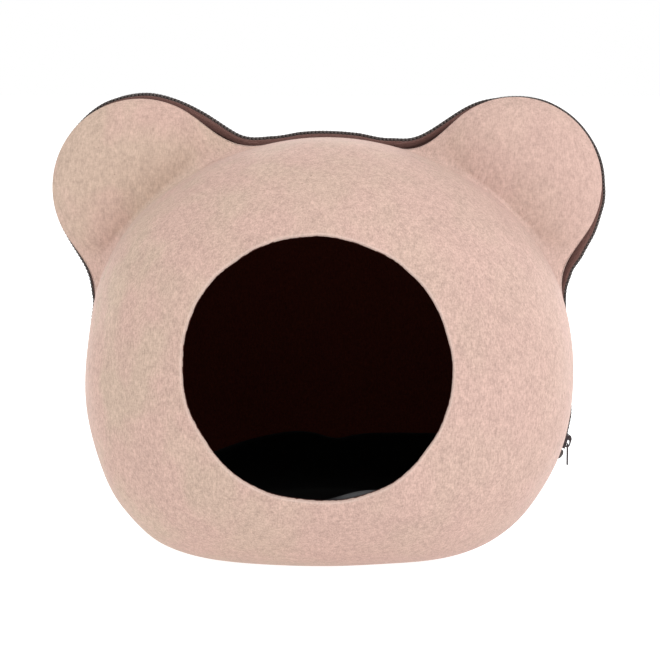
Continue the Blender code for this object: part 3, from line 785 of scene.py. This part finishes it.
def plush_finish():
    """Black pile, with a painted highlight where the mat's rim turns up behind the door's lower edge.
    """
    made, tree, shader = new_material(
        "black_plush", Roughness=0.9, Specular_IOR_Level=0.08, Sheen_Weight=0.03,
        Sheen_Roughness=0.3)
    place = object_place(tree)
    pile = math_node(tree, "MULTIPLY", noise(tree, place, PILE, 2.0, 0.6), 0.6)
    lay = math_node(tree, "MULTIPLY", noise(tree, place, PILE_LAY, 3.0, 0.6, 0.8), 0.5)
    tone = math_node(tree, "ADD", pile, lay)
    black = mixed(tree, spread_out(tree, tone, 0.35, 0.75), PLUSH_BLACK, PLUSH_DUSTY)
    # Painted highlight: grey pile where light through the door falls on the mat's rim.
    away = vector_node(tree, "DISTANCE", place, PLUSH_HIGHLIGHT_AT)["Value"]
    painted_highlight = math_node(tree, "MULTIPLY", spread_out(tree, away, *PLUSH_HIGHLIGHT_ROUND, 1.0, 0.0), tone)
    tree.links.new(mixed(tree, painted_highlight, black, PLUSH_HIGHLIGHT), shader.inputs["Base Color"])
    bumped(tree, shader, tone, 0.6, 1.2 * MM)
    return made


tape_cloth = tape_finish()
teeth_plastic = hard_finish("teeth_plastic", colour(56, 48, 46), colour(96, 87, 84), 0.4, 0.6,
                            Specular_IOR_Level=0.4)
slider_metal = hard_finish("lacquered_metal", colour(44, 38, 40), colour(78, 66, 68), 0.28, 0.5,
                           Metallic=0.7)
plush = plush_finish()
print("finishes:", [m.name for m in bpy.data.materials if m.users or m.use_nodes])

# %% [markdown]
# ## The felt halves
# Each half is felt pressed over a mould, 4.5 mm thick, then cut. A sheet with a Solidify modifier
# would do, but its cut edges would be sharp. Here the grid runs over the outer face, round the
# cut edge, back along the inner face and round the door's edge, so it closes on itself like a
# tyre. The rows are first walked in fine steps of tilt and then spread evenly along the felt,
# because the ear's whole face lies within a few degrees of tilt. The inner face, dark behind the
# door, takes every second row.

# %% Felt helpers
FELT_COLUMNS = 460
FRONT_ROWS = 120
BACK_ROWS = 110
WALK_STEPS = 420
EDGE_STEPS = 6
INNER_STEP = 2
DOOR_ROUNDING = 1.1 * MM
ZIP_ROUNDING = 1.8 * MM
CUT_HIGHLIGHT_WIDTH = 0.9 * MM
EDGE_POWER = 3.0
EDGE_STEP_BACK = (74.0, 9.0, 2.2 * MM)
ZIP_END_MARGIN = 1.2
ZIP_END_STEP = 0.45
ZIP_END_CLEAR = 0.3
COLUMN_SHIFT = 2.0
MOULDING = (
    # wave vector in turns a metre, phase in turns, height in mm
    ((9.0, 4.0, 7.0), 0.13, 0.45), ((-6.0, 5.0, 11.0), 0.71, 0.40), ((14.0, -7.0, 5.0), 0.37, 0.30),
    ((3.0, 15.0, -13.0), 0.92, 0.25), ((-19.0, 6.0, 9.0), 0.55, 0.18))
MOULDED_FROM_SEAM = 12.0 * MM
MOULDED_FROM_GROUND = 6.0 * MM
MOULDED_WITHIN = 40.0 * MM


def felt_bearings():
    """Even steps round the seam, and closer ones where the zip's slot closes."""
    even, _length = even_bearings(*SEAM_ROUND, FELT_COLUMNS + 1)
    near = np.arange(-ZIP_END_MARGIN, SLOT_TAPER + ZIP_END_MARGIN, ZIP_END_STEP)
    ends = np.concatenate((ZIP_END_RIGHT - near, ZIP_END_LEFT + near))
    apart = np.abs(even[:-1, None] - ends[None, :]).min(axis=1)
    return np.sort(np.concatenate((even[:-1][apart > ZIP_END_CLEAR], ends)))


def walk(bearing, tilt_from, tilt_to, rows):
    """Rows of felt points between two tilts, evenly spread along each column. The walked length
    of all columns is laid end to end, so that one np.interp serves them all."""
    tilt = tilt_from + (tilt_to - tilt_from) * np.linspace(0.0, 1.0, WALK_STEPS)[:, None]
    point = reach(ray(np.broadcast_to(bearing, tilt.shape), tilt))
    step = np.linalg.norm(np.diff(point, axis=0), axis=-1)
    walked = np.vstack((np.zeros(len(bearing)), np.cumsum(step, axis=0)))
    shift = np.arange(len(bearing)) * COLUMN_SHIFT
    wanted = np.linspace(0.0, 1.0, rows)[:, None] + shift
    found = np.interp(wanted.T.ravel(), (walked / walked[-1] + shift).T.ravel(), tilt.T.ravel())
    found = found.reshape(len(bearing), rows).T
    return reach(ray(np.broadcast_to(bearing, found.shape), found))


def moulding(point):
    """A few crossed waves, nil near the seam plane and near the ground."""
    height = np.zeros(point.shape[:-1])
    for wave, phase, top in MOULDING:
        height += top * MM * np.sin(2.0 * np.pi * (point @ np.array(wave) + phase))
    from_seam = np.abs(point[..., 1]) - MOULDED_FROM_SEAM
    from_ground = point[..., 2] + HEART[2] - MOULDED_FROM_GROUND
    return height * np.clip(np.minimum(from_seam, from_ground) / MOULDED_WITHIN, 0.0, 1.0)


def round_edge(edge, normal, ahead, thickness, rounding):
    """A cut edge from outer to inner face: a superellipse of EDGE_POWER, half the thickness high
    and rounding deep, behind which the sheet's last row lies."""
    turn = np.linspace(90.0, -90.0, EDGE_STEPS + 2)[1:-1]
    s, c = np.sin(np.radians(turn)), np.cos(np.radians(turn))
    up = np.sign(s) * np.abs(s) ** (2.0 / EDGE_POWER) * thickness / 2.0
    on = c ** (2.0 / EDGE_POWER) * rounding
    middle = edge - ahead * rounding - normal * thickness / 2.0
    rows = middle + normal * up[:, None, None] + ahead * on[:, None, None]
    return rows, 0.5 - 0.5 * s


def square_to(vector, normal):
    """The vectors less their share along the normals, made unit length."""
    return unit(vector - normal * (vector * normal).sum(axis=-1, keepdims=True))


def layered(outer, normal, thickness, first_rounding, last_rounding, from_pole=False, inner_step=1):
    """Outer rows, a round edge, inner rows and, unless they start at a pole, the other round
    edge. Also gives how far through the sheet each row is, and how near the first row's cut."""
    outer = outer.copy()
    ahead = square_to(outer[-1] - outer[-2], normal[-1])
    last, through_last = round_edge(outer[-1], normal[-1], ahead, thickness, last_rounding)
    outer[-1] = outer[-1] - ahead * last_rounding
    step = np.linalg.norm(np.diff(outer, axis=0), axis=-1)
    walked = np.vstack((np.zeros(outer.shape[1]), np.cumsum(step, axis=0)))
    # The share of painted highlight, 1 at the first row's cut and fading inwards.
    near = np.exp(-walked / CUT_HIGHLIGHT_WIDTH)
    ones = np.ones(outer.shape[:2])
    edge = ones[:EDGE_STEPS]
    if not from_pole:
        back = square_to(outer[0] - outer[1], normal[0])
        first, through_first = round_edge(outer[0], normal[0], back, thickness, first_rounding)
        outer[0] = outer[0] - back * first_rounding
    sparse = np.arange(len(outer))[::-inner_step]
    inner = (outer - normal * thickness)[sparse]
    rows = [outer, last, inner]
    through = [0.0 * ones, through_last[:, None] * edge, ones[sparse]]
    cut = [near, 0.0 * edge, near[sparse]]
    if not from_pole:
        rows.append(first[::-1])
        through.append(through_first[::-1, None] * edge)
        cut.append(edge)
    return np.concatenate(rows), np.concatenate(through), np.concatenate(cut)


def felt_edge_tilt(bearing):
    """The tilt at which the felt ends beside the zip: at the slot's edge, and a little further
    from the teeth where EDGE_STEP_BACK says so, by a bell curve."""
    centre, spread, top = EDGE_STEP_BACK
    half = slot_half(bearing) + bell(bearing - centre, spread) * top
    return solve_tilt(bearing, lambda p: -p[..., 1] <= half)


def felt_half(name, node_name, side, start_tilt, rows):
    """One felt half; side is -1 in front and +1 behind."""
    bearing = felt_bearings()
    outer = walk(bearing, start_tilt(bearing), felt_edge_tilt(bearing), rows)
    normal = outward(outer)
    painted_crease = painted_crease_light(outer)
    turn = np.array((1.0, -side, 1.0))
    outer, normal = outer * turn, normal * turn
    outer += normal * moulding(outer)[..., None]
    pole = start_tilt is no_tilt
    points, through, cut = layered(outer, normal, FELT, DOOR_ROUNDING, ZIP_ROUNDING, pole, INNER_STEP)
    faces = grid_faces(len(points), len(bearing), close_rows=not pole, close_columns=True)
    # The outer rows carry the crease's painted shade and highlight for the finish.
    painted_crease_rows = np.zeros(points.shape[:2])
    painted_crease_rows[:rows] = painted_crease
    values = {"through": through, "cut": cut, "painted_crease": painted_crease_rows}
    obj = add_piece(name, points + HEART, faces, values, weld=pole)
    face_out(obj)
    return finish_piece(obj, [node_name], felt)


def door_tilt(bearing):
    """The tilt at which the felt is a door's radius from the axis."""
    return solve_tilt(bearing, lambda p: np.hypot(p[..., 0], p[..., 2]) >= door_radius(bearing))


def no_tilt(bearing):
    """Straight back, where the columns of the closed half meet in a pole."""
    return np.zeros_like(bearing)


# %% Make the felt halves
felt_front = felt_half("felt_front", "front_shell", -1.0, door_tilt, FRONT_ROWS)
felt_back = felt_half("felt_back", "back_shell", 1.0, no_tilt, BACK_ROWS)

# %% [markdown]
# ## The zip's tapes
# Each tape is sewn under its felt edge, rises out of the slot and ends under the teeth. Its rows
# are four lines joined by straight ones, whose corners are then averaged away. They are the CAD's
# own lines, but the ridge lies a little lower, so that the teeth stand free.

# %% Tapes
TAPE = 1.0 * MM
TAPE_GAP = 2.2 * MM
TAPE_SHOULDER = 3.0 * MM
TAPE_UNDER_FELT = 4.5 * MM
TAPE_RIDGE_HALF = 3.1 * MM
TAPE_EDGE_HALF = 0.3 * MM
TAPE_TAIL = 8.0
TAIL_DIVE = 2.4
SLIDER_BEARING = -22.7
TAPE_PART = 1.3 * MM
TAPE_PART_SPREAD = 1.6
TAPE_PART_BELOW = 1.2
TAPE_UNDER_TOP = 2.3 * MM
TAPE_ROUNDING = 0.25 * MM
TAPE_COLUMNS = 620
TAPE_ROWS = 27


def between_lines(lines, rows):
    """Rows evenly spread along the polylines through the lines, with corners averaged."""
    lines = np.stack(lines)
    step = np.linalg.norm(np.diff(lines, axis=0), axis=-1).mean(axis=1)
    marks = np.concatenate(([0.0], np.cumsum(step)))
    at = np.linspace(0.0, marks[-1], rows)
    after = np.clip(np.searchsorted(marks, at, side="right"), 1, len(marks) - 1)
    part = ((at - marks[after - 1]) / step[after - 1])[:, None, None]
    points = lines[after - 1] * (1.0 - part) + lines[after] * part
    points[1:-1] = (points[:-2] + 2.0 * points[1:-1] + points[2:]) / 4.0
    return points, at


def zip_tape(name, node_name, side):
    """One tape; side is -1 in front and +1 behind. Past the zip's ends it dives under the felt."""
    ends = (ZIP_END_RIGHT - TAPE_TAIL, ZIP_END_LEFT + TAPE_TAIL)
    bearing, length = even_bearings(*ends, TAPE_COLUMNS)
    top, _along, out = chain_frame(bearing)
    dive = np.clip(past_zip_end(bearing) / TAIL_DIVE, 0.0, 1.0)[:, None]
    below_slider = (bearing - SLIDER_BEARING) / TAPE_PART_SPREAD + TAPE_PART_BELOW
    parting = TAPE_PART * bell(below_slider, 1.0)

    def on_felt(depth):
        """The line under the felt's inner face at a depth in front of the seam plane."""
        face = reach(ray(bearing, solve_tilt(bearing, lambda p: -p[..., 1] <= depth)))
        return face - outward(face) * (FELT + TAPE_GAP)

    def ridge(depth):
        """The line under the teeth, drawn over to the one under the felt past the zip's ends."""
        point = top - out * TAPE_UNDER_TOP
        point[..., 1] = -depth
        return point * (1.0 - dive) + on_felt(depth) * dive

    half = np.full_like(bearing, SLOT_HALF)
    lines = (on_felt(half + TAPE_UNDER_FELT), on_felt(half - TAPE_SHOULDER),
             ridge(np.full_like(bearing, TAPE_RIDGE_HALF)), ridge(TAPE_EDGE_HALF + parting))
    points, across = between_lines(lines, TAPE_ROWS)
    points[..., 1] *= -side
    normal = unit(np.cross(np.gradient(points, axis=1), np.gradient(points, axis=0)))
    normal *= np.sign((normal * points).sum(axis=-1, keepdims=True))
    shell, through, _cut = layered(points, normal, TAPE, TAPE_ROUNDING, TAPE_ROUNDING)
    edge = np.full(EDGE_STEPS, across[-1])
    across = np.concatenate((across, edge, across[::-1], 0.0 * edge))[:, None] + 0.0 * through
    along = np.linspace(0.0, length, TAPE_COLUMNS)[None, :] + 0.0 * through
    faces = grid_faces(len(shell), TAPE_COLUMNS, close_rows=True)
    obj = face_out(add_piece(name, shell + HEART, faces, {"along": along, "across": across}))
    finish_piece(obj, [node_name], tape_cloth)
    width = float(np.linalg.norm(np.diff(points, axis=0), axis=-1).sum(axis=0).mean())
    print("tape", round(width / MM, 1), "x", round(length / MM), "mm")
    return obj, width, length


for tape_name, tape_node, tape_side, felt_name in (
        ("tape_front", "zip_tape_front", -1.0, "felt_front"),
        ("tape_back", "zip_tape_back", 1.0, "felt_back")):
    tape, tape_width, tape_length = zip_tape(tape_name, tape_node, tape_side)

# %% [markdown]
# ## The teeth
# Moulded teeth stand 3.1 mm apart on each tape and mesh with those of the other one. There are
# hundreds, so one tooth has few faces: six rings with cut corners carried across the chain, wide
# over the tape and narrower at the head. All teeth are one array, turned by the chain's frame.

# %% Teeth
TOOTH_PITCH = 3.1 * MM
TOOTH_BEVEL = 0.28
BEVEL_SHARE = 0.45
WALK_TEETH = 6001
SHARP_ANGLE = math.radians(50.0)
TOOTH_RINGS = (
    # across from the middle, half length along, top below the chain's top, underside below it
    (2.90, 0.62, 0.75, 2.40), (2.55, 0.92, 0.12, 2.60), (1.20, 0.95, 0.00, 2.60),
    (0.55, 0.62, 0.06, 2.50), (-0.55, 0.74, 0.10, 2.45), (-0.80, 0.50, 0.45, 2.10))


def tooth_ring_points(row):
    """Eight points of a rectangle with cut corners, at one station across the chain."""
    across, half, top, under = row
    bevel = min(TOOTH_BEVEL, half * BEVEL_SHARE)
    high, low = -top, -under
    along = (half, half, half - bevel, bevel - half, -half, -half, bevel - half, half - bevel)
    up = (low + bevel, high - bevel, high, high, high - bevel, low + bevel, low, low)
    return [(a, across, u) for a, u in zip(along, up)]


def add_teeth(name):
    """Teeth of both tapes; the back row is turned round and moved on by half a pitch."""
    tooth = np.array([tooth_ring_points(row) for row in TOOTH_RINGS]) * MM
    rings, corners = tooth.shape[:2]
    local = tooth.reshape(-1, 3)
    fine = np.linspace(CHAIN_END_RIGHT, ZIP_END_LEFT, WALK_TEETH)
    step = np.linalg.norm(np.diff(chain_top(fine), axis=0), axis=1)
    walked = np.concatenate(([0.0], np.cumsum(step)))
    pieces = []
    for turned, begin in ((-1.0, 0.5), (1.0, 1.0)):
        at = (np.arange(int(walked[-1] / TOOTH_PITCH) - 1) + begin) * TOOTH_PITCH
        top, along, out = chain_frame(np.interp(at, walked, fine))
        side = np.array((0.0, 1.0, 0.0)) * turned
        placed = (top[:, None, :] + along[:, None, :] * local[None, :, 0:1]
                  + side * local[None, :, 1:2] + out[:, None, :] * local[None, :, 2:3])
        pieces.append(placed)
    points = np.concatenate(pieces)
    one = grid_faces(rings, corners, close_columns=True)
    caps = np.array([(0, 1, 2, 3), (0, 3, 4, 7), (4, 5, 6, 7)])
    ends = np.concatenate((caps, caps + (rings - 1) * corners))
    faces = np.concatenate((one, ends))
    step = np.arange(len(points))[:, None, None] * rings * corners
    obj = add_piece(name, points + HEART, (faces[None] + step).reshape(-1, 4))
    face_out(obj)
    obj.data.set_sharp_from_angle(angle=SHARP_ANGLE)
    print("teeth:", len(points), "on", round(walked[-1] / MM), "mm of chain")
    finish_piece(obj, ["zip_chain"], teeth_plastic)


add_teeth("zip_teeth")

# %% [markdown]
# ## Slider, pull and end stop
# The slider is a small cast block that holds the two rows of teeth together, with a bridge that
# carries a flat pull. Below it a moulded stop clasps both tapes. The CAD has their true shape, so
# the solids stay and only take a finish.

# %% Slider, pull and end stop
for kept_name, finish, slot in (
        ("zip_slider", slider_metal, "zip_metal"), ("zip_pull", slider_metal, "zip_metal"),
        ("zip_stop", teeth_plastic, "zip_teeth")):
    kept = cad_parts[kept_name]
    kept.data.materials.clear()
    kept.data.materials.append(finish)
    print(kept_name, triangles(kept), "triangles kept from the CAD")

# %% [markdown]
# ## The mat
# The mat is a round pad in a plush cover, pressed into the bowl of the base so that its rim turns
# up the wall. It starts as a closed form a little smaller than its room. Cloth with inner pressure
# then swells it, as filling does. The movement is capped so that it stays clear of the felt, and
# the sewn rim stays where it is.

# %% Mat
MAT_THICK = 36.0 * MM
MAT_RIM_Z = 66.0 * MM
MAT_WAVES = ((2, 1.5, 1.0), (3, 1.2, -1.6), (5, 0.8, 1.1))
MAT_RIM_BUMPS = (
    # angle from +X to the back, spread, height in mm
    (138.0, 17.0, -15.0), (104.0, 7.0, 2.0), (90.0, 6.0, -6.0), (52.0, 14.0, 6.0),
    (286.0, 14.0, 16.0))
MAT_FOLDS = (
    # height in mm, folds round the mat, phase, power of the share of the way to the rim
    (0.9, 11, 1.3, 4), (0.7, 17, 0.0, 6))
MAT_GAP_FLOOR = 0.4 * MM
MAT_GAP_WALL = 3.4 * MM
MAT_WALL_SLOPE, MAT_WALL_START = 1.6, 0.6
MAT_EYE_Z = -20.0 * MM
MAT_LEAN = 110.0
MAT_ROW_POWER = 0.85
MAT_FREE_POWER = 6
MAT_THIN_POWER = 3
MAT_COLUMNS = 140
MAT_ROWS = 34
MAT_SHRINK = 2.0 * MM
MAT_CAP = 2.6 * MM
MAT_PRESSURE = 4.0
MAT_FRAMES = 20


def mat_grid(shrink):
    """Rows from the middle of the underside out to the rim and back over the dished top, and how
    free each point is to swell, 1 in the middle and 0 on the sewn rim."""
    angle = np.linspace(0.0, 2.0 * np.pi, MAT_COLUMNS, endpoint=False)
    waves = sum(c * np.cos(n * angle) + s * np.sin(n * angle) for n, c, s in MAT_WAVES)
    turn = np.degrees(angle)
    waves = waves + sum(top * bell(turn - at, spread) for at, spread, top in MAT_RIM_BUMPS)
    rim_z = MAT_RIM_Z - HEART[2] + waves * MM
    eye = np.array((0.0, 0.0, MAT_EYE_Z))

    def down_ray(lean):
        """Directions at each angle round the mat, leaned from straight down."""
        a, b = np.radians(lean), np.broadcast_to(angle, lean.shape)
        return np.stack((np.cos(b) * np.sin(a), np.sin(b) * np.sin(a), -np.cos(a)), axis=-1)

    low, high = np.zeros_like(angle), np.full_like(angle, MAT_LEAN)
    for _step in range(TILT_HALVINGS):
        middle = (low + high) / 2.0
        above = reach(down_ray(middle), eye)[..., 2] > rim_z
        low, high = np.where(above, low, middle), np.where(above, middle, high)
    part = np.linspace(0.0, 1.0, MAT_ROWS + 1)[:, None] ** MAT_ROW_POWER
    face = reach(down_ray(high * part), eye)
    up_wall = np.clip(part * MAT_WALL_SLOPE - MAT_WALL_START, 0.0, 1.0)
    gap = MAT_GAP_FLOOR + (MAT_GAP_WALL - MAT_GAP_FLOOR) * up_wall
    free = np.broadcast_to(1.0 - part ** MAT_FREE_POWER, face.shape[:2])
    under = face - outward(face) * (FELT + gap + shrink * free)[..., None]
    full = MAT_THICK * np.sqrt(np.clip(1.0 - part ** MAT_THIN_POWER, 0.0, 1.0))
    thick = np.maximum(full - 2.0 * shrink * free, 0.0)
    folds = sum(top * MM * np.sin(count * angle + phase) * part ** power
                for top, count, phase, power in MAT_FOLDS)
    over = under + unit(eye - under) * (thick + folds * (thick > 0.0))[..., None]
    return np.concatenate((under, over[::-1][1:])), np.concatenate((free, free[::-1][1:]))


def swell_up(obj):
    """Blow up with Cloth for MAT_FRAMES frames, and cap each point's movement."""
    before = points_of(obj)
    cloth = obj.modifiers.new("cloth", "CLOTH")
    cloth.settings.use_pressure = True
    cloth.settings.uniform_pressure_force = MAT_PRESSURE
    cloth.settings.effector_weights.gravity = 0.0
    cloth.settings.quality = 5
    cloth.collision_settings.use_collision = False
    for step in range(1, MAT_FRAMES + 1):
        bpy.context.scene.frame_set(step)
    after = points_of(obj)
    bpy.context.scene.frame_set(1)
    obj.modifiers.remove(cloth)
    move = after - before
    length = np.linalg.norm(move, axis=1, keepdims=True)
    free = np.empty(len(before), np.float32)
    obj.data.attributes["free"].data.foreach_get("value", free)
    capped = before + move * np.minimum(1.0, MAT_CAP * free[:, None] / np.maximum(length, 1e-9))
    obj.data.vertices.foreach_set("co", capped.astype(np.float32).ravel())
    print("mat swelled by up to %.1f mm, capped at %.1f" % (length.max() / MM, MAT_CAP / MM))


def points_of(obj):
    """The points of an object as shown, with its modifiers."""
    shown = obj.evaluated_get(bpy.context.evaluated_depsgraph_get())
    mesh = shown.to_mesh()
    co = np.empty(len(mesh.vertices) * 3, np.float32)
    mesh.vertices.foreach_get("co", co)
    shown.to_mesh_clear()
    return co.reshape(-1, 3).astype(float)


def apply_modifiers(obj):
    """Put the shown shape into the mesh and drop the modifiers."""
    shown = obj.evaluated_get(bpy.context.evaluated_depsgraph_get())
    mesh = bpy.data.meshes.new_from_object(shown)
    obj.modifiers.clear()
    old, obj.data = obj.data, mesh
    bpy.data.meshes.remove(old)


def add_mat():
    """The mat's form, swelled by cloth and smoothed once."""
    points, free = mat_grid(MAT_SHRINK)
    faces = grid_faces(len(points), MAT_COLUMNS, close_columns=True)
    obj = face_out(add_piece("mat_pad", points + HEART, faces, {"free": free}, weld=True))
    swell_up(obj)
    smooth = obj.modifiers.new("smooth", "SUBSURF")
    smooth.levels = smooth.render_levels = 1
    apply_modifiers(obj)
    obj.data.shade_smooth()
    finish_piece(obj, ["mat"], plush)


add_mat()

# %% [markdown]
# ## The sewn seam
# Below the zip the halves meet edge to edge. Overcast stitches, slanted loops of thread from one
# edge to the other, hold them. Each is a short tube; in the flat belly they lie in the groove.

# %% Seam stitches
STITCH_STEP = 6.5 * MM
STITCH_REACH = 2.6 * MM
STITCH_SLANT = 1.6 * MM
STITCH_OUT, STITCH_DEEP = 0.55, 0.5
SEAM_MARGIN = 2.0
THREAD_RADIUS = 0.35 * MM
THREAD_CLEAR = 1.1
THREAD_SIDES = 6
THREAD_POINTS = 9
THREAD_TWIST = (1500.0, 1500.0, 1500.0)
THREAD_DARK = colour(150, 112, 98)
THREAD_LIGHT = colour(190, 152, 136)


def thread_finish():
    """Two tones of thread mixed by fine noise, as twist."""
    made, tree, shader = new_material("seam_thread", Roughness=0.8, Sheen_Weight=0.2)
    twist = noise(tree, object_place(tree), THREAD_TWIST, 1.0)
    tree.links.new(mixed(tree, twist, THREAD_DARK, THREAD_LIGHT), shader.inputs["Base Color"])
    return made


def add_stitches():
    """A loop across the seam: along the groove by the slant, out by half a sine."""
    start = ZIP_END_LEFT + SLOT_TAPER + SEAM_MARGIN
    end = 360.0 + ZIP_END_RIGHT - SLOT_TAPER - SEAM_MARGIN
    _bearing, length = even_bearings(start, end, 5)
    bearing, _length = even_bearings(start, end, int(length / STITCH_STEP))
    base = reach(ray(bearing, np.full_like(bearing, 90.0)))
    normal = outward(base)
    across = np.array((0.0, 1.0, 0.0))
    along = unit(np.cross(normal, across))
    share = np.linspace(-1.0, 1.0, THREAD_POINTS)[None, :, None]
    rise = (STITCH_OUT * np.cos(share * np.pi / 2.0) - STITCH_DEEP) * MM
    line = (base[:, None] + across * share * STITCH_REACH
            + along[:, None] * share * STITCH_SLANT / 2.0 + normal[:, None] * rise)
    line[..., 2] = np.maximum(line[..., 2], THREAD_RADIUS * THREAD_CLEAR - HEART[2])
    ahead = unit(np.gradient(line, axis=1))
    side = unit(np.cross(ahead, normal[:, None]))
    up = np.cross(side, ahead)
    turn = np.linspace(0.0, 2.0 * np.pi, THREAD_SIDES, endpoint=False)[None, None, :, None]
    ring = side[:, :, None] * np.cos(turn) + up[:, :, None] * np.sin(turn)
    tube = line[:, :, None] + THREAD_RADIUS * ring
    one = grid_faces(THREAD_POINTS, THREAD_SIDES, close_columns=True)
    step = np.arange(len(bearing))[:, None, None] * THREAD_POINTS * THREAD_SIDES
    obj = add_piece("seam_stitches", tube + HEART, (one[None] + step).reshape(-1, 4))
    face_out(obj)
    print("stitches:", len(bearing), "along", round(length / MM), "mm of seam")
    finish_piece(obj, [], thread_finish())


add_stitches()

# %% [markdown]
# ## Floor and light
# The picture is a studio shot on white. A plain pale floor catches the soft shadow of the base.
# The light is a white surround with two broad soft lamps in front, the stronger one from the
# right, and two behind that give the felt its pale rims.

# %% Studio
FLOOR_HALF = 12.0
FLOOR_GREY = (0.4, 0.4, 0.4, 1.0)
FLOOR_GLOW = 0.88
WHITE = (1.0, 1.0, 1.0, 1.0)
SURROUND = 1.0
LAMPS = (
    # name, azimuth, elevation, distance, side of the square in metres, watts, tint
    ("right_box", 48.0, 34.0, 2.2, 1.4, 16.0, (1.0, 0.985, 0.98)),
    ("left_box", -55.0, 42.0, 2.4, 1.4, 5.0, (1.0, 0.99, 0.95)),
    ("right_rim", 142.0, 18.0, 2.2, 1.2, 27.0, (0.88, 0.95, 1.0)),
    ("left_rim", -142.0, 18.0, 2.2, 1.2, 24.0, (0.82, 0.97, 1.0)))


def add_floor():
    """One wide square on the ground, glowing a little so that it renders white."""
    square = np.array(((-1, -1, 0), (1, -1, 0), (1, 1, 0), (-1, 1, 0))) * FLOOR_HALF
    obj = add_piece("floor", square, [(0, 1, 2, 3)])
    made, _tree, _shader = new_material(
        "pale_floor", Base_Color=FLOOR_GREY, Roughness=0.9, Specular_IOR_Level=0.0,
        Emission_Color=WHITE, Emission_Strength=FLOOR_GLOW)
    obj.data.materials.append(made)


def add_lamp(name, azimuth, elevation, distance, size, power, tint):
    """A square soft box that looks at the cave."""
    data = bpy.data.lights.new(name, "AREA")
    data.shape, data.size, data.energy, data.color = "SQUARE", size, power, tint
    aimed(name, data, azimuth, elevation, distance)


def add_surround(strength):
    """White light from everywhere."""
    world = bpy.data.worlds.new("white_surround")
    world.use_nodes = True
    feed(world.node_tree, world.node_tree.nodes["Background"], {"Color": WHITE, "Strength": strength})
    bpy.context.scene.world = world


add_floor()
add_surround(SURROUND)
for lamp in LAMPS:
    add_lamp(*lamp)
bpy.context.scene.view_settings.view_transform = "Standard"
